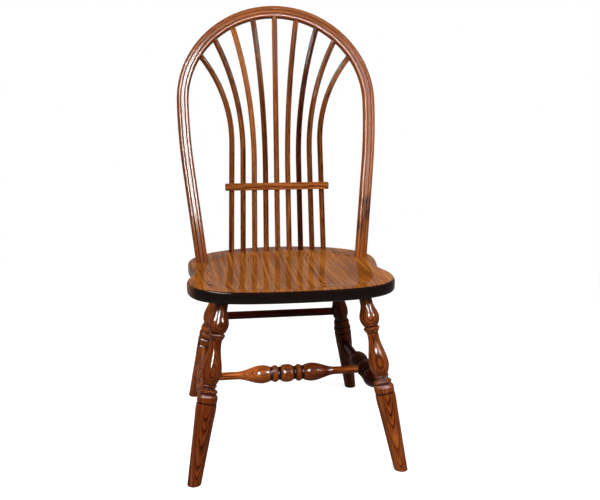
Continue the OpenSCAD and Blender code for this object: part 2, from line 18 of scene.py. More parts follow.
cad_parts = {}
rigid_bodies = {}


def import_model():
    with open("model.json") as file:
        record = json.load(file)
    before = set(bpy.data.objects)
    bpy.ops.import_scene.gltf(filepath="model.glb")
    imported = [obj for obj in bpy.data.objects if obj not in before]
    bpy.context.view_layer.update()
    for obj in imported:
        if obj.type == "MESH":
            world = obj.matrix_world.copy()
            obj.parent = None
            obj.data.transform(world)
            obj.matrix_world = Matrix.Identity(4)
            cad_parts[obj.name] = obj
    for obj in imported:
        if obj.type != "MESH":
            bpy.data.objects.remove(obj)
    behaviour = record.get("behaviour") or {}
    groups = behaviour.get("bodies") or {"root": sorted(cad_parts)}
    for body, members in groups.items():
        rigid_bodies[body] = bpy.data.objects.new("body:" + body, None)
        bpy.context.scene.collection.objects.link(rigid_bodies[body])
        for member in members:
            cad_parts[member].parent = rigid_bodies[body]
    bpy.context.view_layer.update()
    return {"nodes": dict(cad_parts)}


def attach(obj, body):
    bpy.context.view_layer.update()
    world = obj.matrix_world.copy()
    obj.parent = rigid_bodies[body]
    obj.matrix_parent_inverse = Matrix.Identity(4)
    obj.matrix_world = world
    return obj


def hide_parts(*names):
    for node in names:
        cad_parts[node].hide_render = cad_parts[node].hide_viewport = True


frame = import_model()
print("construction solids:", len(frame["nodes"]))

# %% [markdown]
# ## Sizes
# The sizes are the same as those of the construction model, in millimetres. The long dimension
# lists of the turned legs follow a bit later, beside the lathe that uses them. `y = 0` is the line
# through the bow's feet, and `FRONT_BACK_SHIFT` moves the finished chair so that the origin is the
# middle of its footprint.

# %% Sizes of the chair, in millimetres
MM = 0.001
FRONT_BACK_SHIFT = 55.405
SEAT_HEIGHT, SEAT_THICKNESS = 447.0, 32.0
SEAT_UNDER = SEAT_HEIGHT - SEAT_THICKNESS
SEAT_FRONT_W, SEAT_REAR_W, SEAT_WAIST_W = 495.0, 482.0, 459.0
SEAT_FRONT, SEAT_BACK, SEAT_WAIST_AT, SEAT_LOBE_AT = 282.0, 145.0, 94.0, 166.0
SCOOP_DEPTH, SCOOP_W, SCOOP_BACK, SCOOP_FRONT = 8.0, 416.0, 66.0, 258.0
DECK_FALL, TOP_ROUND, BOTTOM_ROUND = 3.0, 9.0, 8.0
BOW_RISE, BOW_W, BOW_TUCK, BOW_LEAN = 654.0, 513.0, 51.0, math.radians(15.3)
BOW_FACE, BOW_DEPTH, BOW_CORNER = 30.0, 20.5, 5.5
bow_half = (BOW_W - BOW_FACE) / 2
BOW_FOOT_SPAN = BOW_W - 2 * BOW_TUCK
CROWN_R, SHOULDER_R, BOW_LEG_R = bow_half + 4.5, bow_half - 15.5, 1500.0
SPINDLE_D, SPINDLE_PITCH, SPINDLE_SLAT_PITCH, SPINDLE_ROW = 14.2, 31.0, 29.9, 94.0
SPINDLE_FAN, SPINDLE_STRAIGHT, SPINDLE_STEP = math.radians(14), 205.0, 26.5
SLAT_UP, SLAT_LENGTH, SLAT_FACE, SLAT_THICK, SLAT_NOTCH = 172.0, 275.0, 18.5, 10.0, 3.0


def to_chair(p):
    """A point in millimetres from the bow's foot line, in metres in the chair's frame."""
    return Vector((p[0] * MM, (p[1] + FRONT_BACK_SHIFT) * MM, p[2] * MM))


# %% [markdown]
# ## Camera
# The photograph was taken from a little left of the middle and half a metre above the seat, with a
# normal lens. The place and the tilt were solved from the chair's own outline, so the render can
# be laid over the photograph. A camera looks along its own -Z, so its axes go in as columns.
#
# Every new object has to be linked to the scene before it shows, so one small function does both.

# %% Camera
CAMERA_AT = Vector((-0.2670, -1.9181, 0.9628))
CAMERA_TURN, CAMERA_DOWN, CAMERA_ROLL = 0.157, 0.242, -0.007
FOCAL_PIXELS, IMAGE_WIDTH, SENSOR_MM = 800.0, 600, 36.0

forward = Vector((
    math.sin(CAMERA_TURN) * math.cos(CAMERA_DOWN),
    math.cos(CAMERA_TURN) * math.cos(CAMERA_DOWN),
    -math.sin(CAMERA_DOWN),
))
level_right = Vector((math.cos(CAMERA_TURN), -math.sin(CAMERA_TURN), 0))
level_down = forward.cross(level_right)
right = math.cos(CAMERA_ROLL) * level_right + math.sin(CAMERA_ROLL) * level_down
down = -math.sin(CAMERA_ROLL) * level_right + math.cos(CAMERA_ROLL) * level_down


def put(name, data):
    """A new object in the scene that shows this mesh, lamp or camera."""
    thing = bpy.data.objects.new(name, data)
    bpy.context.scene.collection.objects.link(thing)
    return thing


camera = put("camera", bpy.data.cameras.new("camera"))
camera.data.sensor_width = SENSOR_MM
camera.data.lens = FOCAL_PIXELS * SENSOR_MM / IMAGE_WIDTH
camera.matrix_world = Matrix.Translation(CAMERA_AT) @ Matrix((right, -down, -forward)).transposed().to_4x4()
bpy.context.scene.camera = camera
bpy.context.scene.view_settings.view_transform = "Standard"
print("lens", round(camera.data.lens, 1), "mm")

# %% [markdown]
# ## A helper for node trees
# Shaders, the world and Geometry Nodes are all trees of nodes. One small function adds a node,
# sets it up and plugs its inputs: another node or a socket is linked, and anything else becomes
# the input's value.

# %% Node helper and colours
def add(tree, kind, inputs=None, **settings):
    node = tree.nodes.new(kind)
    for name, value in settings.items():
        setattr(node, name, value)
    for key, value in (inputs or {}).items():
        source = value.outputs[0] if isinstance(value, bpy.types.Node) else value
        if isinstance(source, bpy.types.NodeSocket):
            tree.links.new(source, node.inputs[key])
        else:
            node.inputs[key].default_value = source
    return node


def empty_tree(owner):
    """The node tree of a new material or world, cleared for our own nodes."""
    owner.use_nodes = True
    owner.node_tree.nodes.clear()
    return owner.node_tree


def linear(hex_colour):
    """An sRGB hex colour as the linear numbers that a shader takes."""
    channels = [int(hex_colour[i:i + 2], 16) / 255 for i in (1, 3, 5)]
    return tuple(c / 12.92 if c <= 0.04045 else ((c + 0.055) / 1.055) ** 2.4 for c in channels) + (1,)


# %% [markdown]
# ## Stained oak
# Oak grows a ring a year. The spring wood of each ring is full of open pores that soak up stain
# and turn dark, and the summer wood is dense and stays lighter. A board or a turned leg is a cut
# through those nested rings, and that cut is what draws arches on a taper, ovals on a bulb and
# straight lines on a thin rod.
#
# So the material does what the tree does. Each piece carries an attribute, `timber`: where each
# of its points lay in the log, in metres, with the pith along Z. The shader measures the distance
# from the pith, lets it wander as real fibres do, and cuts it into rings. Two more attributes
# darken the wood. One mixes in near-black: the stain in grooves and end grain, and painted shade
# in the grooves, under the seat and on a stretcher that stands in shade. The other tints a stick
# darker as a whole: a stick that took the stain darker, and painted shade on the bow's left leg and
# the pieces of the right rear corner, and painted light at the left end of the medial stretcher.
#
# The gloss is a thin clear coat, at a quarter of full weight or less. The studio is white all
# round, and a full coat would lay a pale mist of it over the dark wood, which the photograph
# doesn't have. The pores sink a little under the lacquer on the seat, and hardly on the sticks.

# %% The oak material
# the near-black is also painted shade in the grooves, under the seat and on the right side stretcher; the
# deep tint is also painted shade on the bow's left leg and the right rear corner
STAIN_AND_SHADE_BLACK, DEEP_TONE_AND_SHADE = "#0f0402", "#6a4436"  # of gathered stain, and what a dark stick is tinted by
COAT_IOR, PORE_MM = 1.3, 0.3
RING_LINE = {0.0: 1.0, 1.0: 0.9, 0.16: 0.8, 0.36: 0.18, 0.6: 0.0, 0.93: 0.0}  # darkness through a year
STREAKS = ((3.0, 110, 0.6), (8.0, 260, 1.0), (60, 200, 0.4))  # width and length in mm, share of the depth


def stained_oak(name, colours, ring_mm, wander_mm, line_depth, streak_depth, coat, sunk, coat_roughness=0.06):
    """Oak in its lightest, middle and darkest colour; depths say how dark ring lines and streaks are."""
    material = bpy.data.materials.new(name)
    tree = empty_tree(material)
    timber = add(tree, "ShaderNodeAttribute", attribute_name="timber").outputs["Vector"]

    def streaks(across, along, low, high, detail=2.0):
        """A value from low to high in streaks that are across mm wide and along mm long."""
        per_metre = (1000 / across, 1000 / across, 1000 / along)
        place = add(tree, "ShaderNodeVectorMath", {0: timber, 1: per_metre}, operation="MULTIPLY")
        noise = add(tree, "ShaderNodeTexNoise", {"Vector": place, "Scale": 1.0, "Detail": detail})
        return add(tree, "ShaderNodeMapRange", {0: noise, 1: 0.3, 2: 0.7, 3: low, 4: high})

    # distance from the pith, wandering slowly along the trunk and more quickly over a hand's breadth
    flat = add(tree, "ShaderNodeVectorMath", {0: timber, 1: (1, 1, 0)}, operation="MULTIPLY")
    pith = add(tree, "ShaderNodeVectorMath", {0: flat}, operation="LENGTH").outputs["Value"]
    reach = wander_mm * MM
    pith = add(tree, "ShaderNodeMath", {0: pith, 1: streaks(120, 300, -reach, reach)})
    pith = add(tree, "ShaderNodeMath", {0: pith, 1: streaks(25, 60, -0.3 * reach, 0.3 * reach)})
    years = add(tree, "ShaderNodeMath", {0: pith, 1: ring_mm * MM}, operation="DIVIDE")
    # good and bad years: wide rings and narrow ones, strong lines and faint ones
    luck = add(tree, "ShaderNodeMath", {0: years, 1: 0.31}, operation="MULTIPLY")
    luck = add(tree, "ShaderNodeTexNoise", {"W": luck, "Scale": 1.0, "Detail": 1.0}, noise_dimensions="1D")
    years = add(tree, "ShaderNodeMath", {0: luck, 1: 1.8, 2: years}, operation="MULTIPLY_ADD")
    line = add(tree, "ShaderNodeValToRGB", {0: add(tree, "ShaderNodeMath", {0: years}, operation="FRACT")})
    for at, value in RING_LINE.items():
        stops = line.color_ramp.elements
        stop = stops[round(at)] if at in (0.0, 1.0) else stops.new(at)
        stop.color = (value, value, value, 1)
    year = add(tree, "ShaderNodeMath", {0: years}, operation="FLOOR")
    chance = add(tree, "ShaderNodeTexWhiteNoise", {"W": year}, noise_dimensions="1D").outputs["Value"]
    strength = add(tree, "ShaderNodeMapRange", {0: chance, 3: 0.45 * line_depth, 4: line_depth})
    spring = add(tree, "ShaderNodeMath", {0: line, 1: strength}, operation="MULTIPLY")

    # pores crowd in the spring wood as thin dark dashes
    pores = add(tree, "ShaderNodeMath", {0: streaks(0.9, 14, -1.2, 1.3, 0.0), 1: 0.0}, operation="MAXIMUM")
    crowd = add(tree, "ShaderNodeMath", {0: spring, 1: 0.5, 2: 0.1}, operation="MULTIPLY_ADD")
    pores = add(tree, "ShaderNodeMath", {0: pores, 1: crowd}, operation="MULTIPLY")
    amount = add(tree, "ShaderNodeMath", {0: spring, 1: pores})
    for width, length, share in STREAKS:
        streak = streaks(width, length, 0.0, share * streak_depth)
        amount = add(tree, "ShaderNodeMath", {0: amount, 1: streak})
    wood = add(tree, "ShaderNodeValToRGB", {0: amount})
    wood.color_ramp.elements.new(0.45)
    for stop, colour in zip(wood.color_ramp.elements, colours):
        stop.color = linear(colour)

    # tint towards a deep brown by the tone, which is also painted shade and, below 0, painted light; then mix
    # in near-black by the stain, which is also painted shade in grooves and under the seat
    tone = add(tree, "ShaderNodeAttribute", attribute_name="tone").outputs["Fac"]
    wood = add(tree, "ShaderNodeMix", {0: tone, 6: wood, 7: linear(DEEP_TONE_AND_SHADE)}, data_type="RGBA",
               blend_type="MULTIPLY", clamp_factor=False)
    stain_and_shade_amount = add(tree, "ShaderNodeAttribute", attribute_name="stain").outputs["Fac"]
    wood = add(tree, "ShaderNodeMix", {0: stain_and_shade_amount, 6: wood.outputs[2], 7: linear(STAIN_AND_SHADE_BLACK)},
               data_type="RGBA")

    # the open pores stay a little sunk under the lacquer
    dents = add(tree, "ShaderNodeBump", {"Strength": sunk, "Distance": PORE_MM * MM, "Height": amount},
                invert=True)
    shader = add(tree, "ShaderNodeBsdfPrincipled", {
        "Base Color": wood.outputs[2], "Roughness": 0.5, "Specular IOR Level": 0.0, "Normal": dents,
        "Coat Weight": coat, "Coat Roughness": coat_roughness, "Coat IOR": COAT_IOR,
    })
    add(tree, "ShaderNodeOutputMaterial", {0: shader})
    return material


# glued seat boards: broad grain under the thickest coat, which mirrors the back of the chair
oak_seat = stained_oak(
    "stained_oak_boards", ("#a86f2e", "#854a18", "#442008"), 3.5, 4.0, 0.6, 0.42, coat=0.27, sunk=0.15)
# the bent bow: fine close lines that follow the hoop, and a duller coat whose highlight is a soft band
oak_bow = stained_oak(
    "stained_oak_bent", ("#a65f2a", "#824319", "#451f09"), 2.2, 2.0, 0.75, 0.35, coat=0.12, sunk=0.06,
    coat_roughness=0.12)
# spindles and slat: streaky, golden brown and almost without gloss
oak_rod = stained_oak(
    "stained_oak_rods", ("#c57a3c", "#925226", "#471f0d"), 3.0, 3.0, 0.75, 0.5, coat=0.03, sunk=0.1)
# turned legs and stretchers: bold rings in red brown, and a smooth coat with small sharp highlights
oak_turned = stained_oak(
    "stained_oak_turned", ("#d27c36", "#a0501d", "#3a1103"), 3.6, 2.0, 0.7, 0.35, coat=0.14, sunk=0.04,
    coat_roughness=0.045)
print("wood materials:", [m.name for m in (oak_seat, oak_bow, oak_rod, oak_turned)])

# %% [markdown]
# ## From helper object to finished piece
# Geometry Nodes need an object to work on. Once a tree has run, its result is taken as a plain
# mesh, the helper is thrown away, and the piece gets its material and rides on the chair's body,
# while the construction solid that it stands for is hidden.
#
# No two sticks of a chair take the stain alike, so each piece gets its own tone. In the photograph
# the third spindle from the right and much of the right rear corner are far darker than the rest.
# The right rear corner stands in shade under the seat, and there the tone is painted shade; along
# the medial stretcher the tone is painted light at the left end and painted shade at the right vase.

# %% Tools for meshes
SHARP_EDGE = math.radians(38)


def wire(name, points, closed=False):
    """A line of edges through the points."""
    mesh = bpy.data.meshes.new(name)
    edges = [(i, i + 1) for i in range(len(points) - 1)] + ([(len(points) - 1, 0)] if closed else [])
    mesh.from_pydata([tuple(p) for p in points], edges, [])
    return put(name, mesh)


@contextmanager
def opened(mesh):
    """The mesh opened for editing; what was done to it is written back at the end."""
    work = bmesh.new()
    work.from_mesh(mesh)
    yield work
    work.to_mesh(mesh)
    work.free()


def saw(work, at, way):
    """Take off what lies beyond a plane, close the cut with a face, and give back the cut's rim."""
    everything = work.verts[:] + work.edges[:] + work.faces[:]
    cut = bmesh.ops.bisect_plane(work, geom=everything, plane_co=at, plane_no=way, clear_outer=True)
    rim = [e for e in cut["geom_cut"] if isinstance(e, bmesh.types.BMEdge)]
    bmesh.ops.contextual_create(work, geom=rim)
    return rim


def crease(mesh):
    """Smooth shading, with edges that turn sharply kept crisp."""
    with opened(mesh) as work:
        for face in work.faces:
            face.smooth = True
        for edge in work.edges:
            edge.smooth = len(edge.link_faces) != 2 or edge.calc_face_angle(0) < SHARP_EDGE


def attribute(mesh, name, kind, values):
    """Write one value a vertex; a vector comes as one flat list."""
    layer = mesh.attributes.get(name) or mesh.attributes.new(name, kind, "POINT")
    layer.data.foreach_set("vector" if kind == "FLOAT_VECTOR" else "value", values)


# %% Finish a piece
# the right rear leg, the rear rail and the right side stretcher are painted shade, and the medial stretcher's
# row is painted light at its left end and painted shade at its right vase
TONES_AND_SHADE = {  # how much darker than its fellows a piece is, below 0 for lighter; a row runs from left to right
    "seat_board_4": -0.08, "seat_board_5": -0.22, "cross_slat": -0.12,
    "spindle_1": 0.4, "spindle_2": 0.55, "spindle_3": 0.06, "spindle_4": 0.6, "spindle_5": 0.2,
    "spindle_6": 0.3, "spindle_7": 0.92, "spindle_8": 0.52, "spindle_9": 0.4,
    "front_leg_left": 0.76, "front_leg_right": 0.56, "rear_leg_left": 0.48, "rear_leg_right": 0.94,
    "side_stretcher_left": 0.58, "side_stretcher_right": 0.95, "rear_rail": 1.0,
    "medial_stretcher": (-0.2, -0.25, 0.25, 0.95, 0.3),
}


def collect(name, helper):
    """Run the helper's modifiers and keep only their result, as a plain mesh object."""
    graph = bpy.context.evaluated_depsgraph_get()
    mesh = bpy.data.meshes.new_from_object(helper.evaluated_get(graph))
    mesh.name = name
    bpy.data.objects.remove(helper)
    return put(name, mesh)


def stand_for(piece, node, material):
    """Finish a piece: its material, its tone with any painted light and shade, and the construction solid
    that it replaces.
    """
    piece.data.materials.clear()
    piece.data.materials.append(material)
    crease(piece.data)
    tone = TONES_AND_SHADE.get(node, 0.0)
    tone_and_shade_stops = tone if isinstance(tone, tuple) else (tone, tone)
    across = [v.co.x for v in piece.data.vertices]
    low, high = min(across), max(across)

    def tone_and_shade_at(x):
        place = (x - low) / (high - low) * (len(tone_and_shade_stops) - 1)
        i = min(int(place), len(tone_and_shade_stops) - 2)
        return tone_and_shade_stops[i] + (tone_and_shade_stops[i + 1] - tone_and_shade_stops[i]) * (place - i)

    attribute(piece.data, "tone", "FLOAT", [tone_and_shade_at(x) for x in across])
    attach(piece, "root")
    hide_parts(node)
    print(f"{piece.name}: {len(piece.data.polygons)} faces for {node}")


# %% [markdown]
# ## The lathe
# Legs and stretchers are turned: a square stick spins between two points and the tool cuts a
# profile. The drawing of a turning is a list of stations, each a distance along the stick, a
# radius, and how the tool gets there: straight, in an S, swelling out, or falling away.
#
# The lathe itself is a Geometry Nodes tree. It wraps a flat grid round an axis. The grid has one
# row for each point of the profile and one column for each facet, so every row can look up its own
# radius by number, and nothing is resampled.
#
# A wiping cloth takes stain off the crests and leaves it in the corners, and the same darkening
# also paints the shade that falls in the grooves. So each point of the profile also gets a value
# for how dark it is: much in a groove or a sharp inside corner, hardly any in a round hollow.

# %% Profiles from stations
TURN_STEP = 1.5
LEAST_STEPS = 5


def way_in(way, t):
    """How far the tool has moved at share t: 1 in an S, 2 swelling out, 3 falling away, 0 straight."""
    if way == 1:
        return (1 - math.cos(math.pi * t)) / 2
    if way == 2:
        return math.sin(math.pi / 2 * t)
    if way == 3:
        return 1 - math.cos(math.pi / 2 * t)
    return t


def profile_of(stations):
    """Stations as a fine line of (distance, radius) in millimetres."""
    line = [(stations[0][0], stations[0][1])]
    for (z0, r0, _), (z1, r1, way) in zip(stations, stations[1:]):
        steps = max(LEAST_STEPS if way else 1, math.ceil((z1 - z0) / TURN_STEP))
        for i in range(1, steps + 1):
            t = i / steps
            line.append((z0 + (z1 - z0) * t, r0 + (r1 - r0) * way_in(way, t)))
    return line


# %% Stain and painted shade in the grooves
GROOVE_FULL = 3.3  # all sizes here are in millimetres
CORNER_REACH, CORNER_FULL = 0.9, 0.38
STAIN_AND_SHADE_SPREAD = 1.0


def stain_and_shade_in_grooves(line, reach):
    """Stain and painted shade at each point, in grooves up to twice the reach wide and in sharp corners."""
    def radius(z):
        for (z0, r0), (z1, r1) in zip(line, line[1:]):
            if z0 <= z <= z1:
                return r0 + (r1 - r0) * (z - z0) / max(z1 - z0, 1e-9)
        return line[0][1] if z < line[0][0] else line[-1][1]

    out = []
    for z, r in line:
        before = max((q for p, q in line if z - reach <= p <= z), default=r)
        after = max((q for p, q in line if z <= p <= z + reach), default=r)
        groove = max(0.0, (min(before, after) - r) / GROOVE_FULL) ** 0.7
        # a corner is as deep as the point lies below the middle of its two neighbours
        hollow = (radius(z - CORNER_REACH) + radius(z + CORNER_REACH)) / 2 - r
        corner = (max(0.0, hollow) / CORNER_FULL) ** 2
        out.append(min(1.0, max(groove, corner)))
    # the stain and the painted shade creep a little way up the sides
    return [max(s for (p, _), s in zip(line, out) if abs(p - z) <= STAIN_AND_SHADE_SPREAD) for z, _ in line]


# %% The lathe as a node tree
FACETS, SEAM = 96, 1e-6  # seam: how close the grid's first and last columns lie, in metres
LOG_INPUTS = (
    ("Log place", "NodeSocketVector", (0, 0, 0)),
    ("Fibre slope", "NodeSocketVector", (0, 0, 0)),
    ("Wood", "NodeSocketMaterial", None),
)


def interface(tree, *sockets):
    """The tree's named inputs, each with its kind and its default, and one output for the result."""
    for name, kind, default in sockets:
        socket = tree.interface.new_socket(name, in_out="INPUT", socket_type=kind)
        if default is not None:
            socket.default_value = default
    tree.interface.new_socket("Geometry", in_out="OUTPUT", socket_type="NodeSocketGeometry")


def run_through(helper, tree, inputs):
    """Put a tree on the helper as a modifier, and set its inputs by their sockets' identifiers."""
    modifier = helper.modifiers.new(tree.name, "NODES")
    modifier.node_group = tree
    for item in tree.interface.items_tree:
        if item.item_type == "SOCKET" and item.in_out == "INPUT" and item.name in inputs:
            modifier[item.identifier] = inputs[item.name]


def lay_in_log(tree, into, piece, place, along):
    """Store as timber where each point lay in the log: its place in the stick, moved and slightly slanted."""
    slant = add(tree, "ShaderNodeVectorMath", {0: into["Fibre slope"], "Scale": along}, operation="SCALE")
    moved = add(tree, "ShaderNodeVectorMath", {0: place, 1: into["Log place"]})
    in_log = add(tree, "ShaderNodeVectorMath", {0: moved, 1: slant})
    noted = {"Geometry": piece, "Name": "timber", "Value": in_log}
    return add(tree, "GeometryNodeStoreNamedAttribute", noted, data_type="FLOAT_VECTOR", domain="POINT")


def hand_over(tree, into, piece):
    """End a tree: the piece as a real mesh, in its wood."""
    real = add(tree, "GeometryNodeRealizeInstances", {0: piece})
    painted = add(tree, "GeometryNodeSetMaterial", {"Geometry": real, "Material": into["Wood"]})
    add(tree, "NodeGroupOutput", {0: painted})


def make_lathe():
    """A tree that turns a profile, drawn as a wire in the XZ plane, into a stick of wood round Z."""
    tree = bpy.data.node_groups.new("lathe", "GeometryNodeTree")
    interface(
        tree,
        ("Geometry", "NodeSocketGeometry", None),
        ("Facets", "NodeSocketInt", FACETS),
        ("Place", "NodeSocketVector", (0, 0, 0)),
        ("Turn", "NodeSocketRotation", None),
        *LOG_INPUTS,
    )
    into = add(tree, "NodeGroupInput").outputs
    rows = add(tree, "GeometryNodeAttributeDomainSize", {0: into["Geometry"]}).outputs["Point Count"]
    columns = add(tree, "ShaderNodeMath", {0: into["Facets"], 1: 1.0})
    sheet = add(tree, "GeometryNodeMeshGrid", {"Vertices X": columns, "Vertices Y": rows}).outputs["Mesh"]
    # each point of the grid looks up the profile's point with the number of its row
    number = add(tree, "GeometryNodeInputIndex")
    column = add(tree, "ShaderNodeMath", {0: number, 1: rows}, operation="DIVIDE")
    column = add(tree, "ShaderNodeMath", {0: column}, operation="FLOOR")
    row = add(tree, "ShaderNodeMath", {0: number, 1: rows}, operation="MODULO")
    point = add(tree, "GeometryNodeInputPosition")
    drawn = add(tree, "GeometryNodeSampleIndex", {0: into["Geometry"], 1: point, 2: row},
                data_type="FLOAT_VECTOR")
    drawn = add(tree, "ShaderNodeSeparateXYZ", {0: drawn}).outputs
    # each row also brings its darkness, which is stain and painted shade
    stain_and_shade_amount = add(tree, "GeometryNodeInputNamedAttribute", {0: "stain"}, data_type="FLOAT")
    stain_and_shade_amount = add(tree, "GeometryNodeSampleIndex", {0: into["Geometry"], 1: stain_and_shade_amount, 2: row},
                   data_type="FLOAT")
    # its column says how far round the axis it goes
    share = add(tree, "ShaderNodeMath", {0: column, 1: into["Facets"]}, operation="DIVIDE")
    angle = add(tree, "ShaderNodeMath", {0: share, 1: 2 * math.pi}, operation="MULTIPLY")
    cosine = add(tree, "ShaderNodeMath", {0: angle}, operation="COSINE")
    sine = add(tree, "ShaderNodeMath", {0: angle}, operation="SINE")
    x = add(tree, "ShaderNodeMath", {0: drawn["X"], 1: cosine}, operation="MULTIPLY")
    y = add(tree, "ShaderNodeMath", {0: drawn["X"], 1: sine}, operation="MULTIPLY")
    wrapped = add(tree, "ShaderNodeCombineXYZ", {0: x, 1: y, 2: drawn["Z"]})
    turned = add(tree, "GeometryNodeSetPosition", {"Geometry": sheet, "Position": wrapped})
    noted = {"Geometry": turned, "Name": "stain", "Value": stain_and_shade_amount}
    turned = add(tree, "GeometryNodeStoreNamedAttribute", noted, data_type="FLOAT", domain="POINT")
    turned = add(tree, "GeometryNodeMergeByDistance", {"Geometry": turned, "Distance": SEAM})
    along = add(tree, "ShaderNodeSeparateXYZ", {0: point}).outputs["Z"]
    turned = lay_in_log(tree, into, turned, point, along)
    placed = {"Geometry": turned, "Translation": into["Place"], "Rotation": into["Turn"]}
    hand_over(tree, into, add(tree, "GeometryNodeTransform", placed))
    return tree


lathe = make_lathe()
print("lathe tree:", len(lathe.nodes), "nodes")

# %% Turn one stick
END_STAIN = 0.4


def axes_turn(direction, face_to=Vector((0, -1, 0))):
    """A rotation whose Z is the direction and whose -Y faces the front as nearly as it can."""
    z = direction.normalized()
    x = (-face_to).cross(z).normalized()
    y = z.cross(x)
    return Matrix((x, y, z)).transposed()


def turn_stick(name, stations, start, end, log_place, slope, material, reach=1.5, least_painted_shade=0.0):
    """Turn a stick whose station 0 is at start and whose axis runs to end, in millimetres."""
    line = profile_of(stations)
    # stain and painted shade in the grooves, and never less than the painted shade that the whole stick is
    # given
    stain = [max(least_painted_shade, s) for s in stain_and_shade_in_grooves(line, reach)]
    line = [(line[0][0], 0.0)] + line + [(line[-1][0], 0.0)]
    stain = [END_STAIN] + stain + [END_STAIN]
    helper = wire(name + "_profile", [(r * MM, 0, z * MM) for z, r in line])
    attribute(helper.data, "stain", "FLOAT", stain)
    run_through(helper, lathe, {
        "Facets": FACETS, "Place": to_chair(start), "Turn": axes_turn(Vector(end) - Vector(start)).to_euler(),
        "Log place": log_place, "Fibre slope": slope, "Wood": material,
    })
    return collect(name, helper)


# %% [markdown]
# ## Legs
# All four legs are the same kind of baluster: a bulb under the seat, a ring, a slim neck that swells
# to a vase, a stack of rings at stretcher height, and a long plain taper. The rear ones are
# slimmer. The oak for a leg comes from well outside the pith, so its rings are almost flat where
# they cross the stick; on the front of the taper they come out as nested arches.

# %% Leg drawings
LEG_TOP_R, LEG_SOCKET, TOE_R, PAST_FLOOR = 15.0, 16.5, 15.8, 8.0
FRONT_TOP, FRONT_TOE = (166.5, -207.0, SEAT_UNDER), (244.5, -304.0, 0.0)
REAR_TOP, REAR_TOE = (148.5, 76.0, SEAT_UNDER), (230.0, 193.0, 0.0)


def mirrored(p, side):
    """The same point on the left (-1) or the right (1)."""
    return Vector((side * p[0], p[1], p[2]))


def length_between(a, b):
    return (Vector(a) - Vector(b)).length


def bulb_ring(at, neck, ring):
    """The sharp ring under a bulb, drawn outwards from the neck's radius and inwards from the ring's."""
    return [
        (at - 6, neck + 4.4, 3), (at - 4.6, neck + 1.8, 0), (at - 3.2, neck + 1.8, 0),
        (at - 2, ring - 1.6, 0), (at + 1, ring, 2), (at + 4, ring - 1.6, 3), (at + 5, neck + 3.6, 0),
        (at + 8.5, neck + 2.8, 0), (at + 12, neck, 1),
    ]


def v_groove(at, before, depth, after):
    """A scribed line, cut with the tool's corner."""
    return [(at - 1.9, before, 0), (at, min(before, after) - depth, 0), (at + 1.9, after, 0)]


def upper_leg(b, bulb, ring, neck, v, vase):
    """From the end of the tenon over the bulb at b, its ring and the neck to the vase at v."""
    return (
        [(-LEG_SOCKET, LEG_TOP_R, 0), (b - 35, LEG_TOP_R, 0), (b, bulb, 1)]
        + bulb_ring(b + 25, neck, ring) + [(b + 45, neck, 0), (v, vase, 1)]
    )


def front_leg_stations(b=62.0, bulb=23.7, ring=19.3, neck=13.4, v=176.0, vase=23.7, g=233.0, bead=23.9):
    end = length_between(FRONT_TOP, FRONT_TOE)
    return (
        upper_leg(b, bulb, ring, neck, v, vase)
        + [
            (v + 24, vase - 7.4, 3), (v + 25.5, vase - 8.2, 0), (v + 28.5, vase - 6, 2),
            (v + 31.5, vase - 8.6, 3), (g - 22.5, bead - 9.6, 1), (g - 18, bead - 3.8, 3),
            (g - 15, bead - 2.4, 2), (g - 12, bead - 3.6, 3), (g - 10.6, bead - 6, 0),
            (g - 9.6, bead - 6, 0), (g - 8.4, bead - 3.6, 0), (g - 1, bead, 2),
        ]
        + v_groove(g + 12, bead - 0.6, 2.1, bead - 0.5)
        + [(g + 20, bead, 0), (g + 50, bead - 1.4, 3), (end, TOE_R, 0), (end + PAST_FLOOR, TOE_R, 0)]
    )


def rear_leg_stations(b=60.0, bulb=22.5, ring=18.3, neck=13.5, v=164.0, vase=22.4, g=241.0, band=23.7):
    end = length_between(REAR_TOP, REAR_TOE)
    return (
        upper_leg(b, bulb, ring, neck, v, vase)
        + [
            (v + 24, vase - 5.6, 3), (g - 50, vase - 6.2, 0), (g - 48.5, vase - 4, 0),
            (g - 38, band - 1.9, 2), (g - 32.4, band - 2.6, 3),
        ]
        + v_groove(g - 30, band - 2.8, 2.4, band - 2.6)
        + [(g - 20, band, 2), (g - 12.4, band - 1.4, 3)]
        + v_groove(g - 10, band - 1.6, 2.4, band - 1.4)
        + [(g - 3, band, 2)]
        + v_groove(g + 12, band - 0.7, 2, band - 0.8)
        + [(g + 20, band - 1, 0), (g + 54, band - 2.6, 3), (end, TOE_R, 0), (end + PAST_FLOOR, TOE_R, 0)]
    )


# %% Turn the legs and cut their toes level
TOE_EASE = 1.2


def cut_at_floor(mesh):
    """Saw off what is below the floor and ease the fresh edge, as a sanding block does."""
    with opened(mesh) as work:
        rim = saw(work, (0, 0, 0), (0, 0, -1))
        bmesh.ops.bevel(work, geom=rim, offset=TOE_EASE * MM, segments=3, affect="EDGES", profile=0.6)
        bmesh.ops.recalc_face_normals(work, faces=work.faces[:])


LEG_LOGS = {  # where each leg lay in its log, in metres, and how its fibres slant
    "front_leg_left": ((0.004, 0.083, 0.10), (0.010, 0.050, 0)),
    "front_leg_right": ((-0.003, 0.092, 0.80), (-0.006, 0.052, 0)),
    "rear_leg_left": ((0.050, 0.060, 1.50), (0.008, 0.010, 0)),
    "rear_leg_right": ((-0.060, 0.050, 2.20), (0.010, -0.008, 0)),
}
for side_name, side in (("left", -1), ("right", 1)):
    for which, stations, top, toe in (
        ("front_leg", front_leg_stations(), FRONT_TOP, FRONT_TOE),
        ("rear_leg", rear_leg_stations(), REAR_TOP, REAR_TOE),
    ):
        node = f"{which}_{side_name}"
        ends = mirrored(top, side), mirrored(toe, side)
        leg = turn_stick("turned_" + node, stations, *ends, *LEG_LOGS[node], oak_turned)
        cut_at_floor(leg.data)
        stand_for(leg, node, oak_turned)

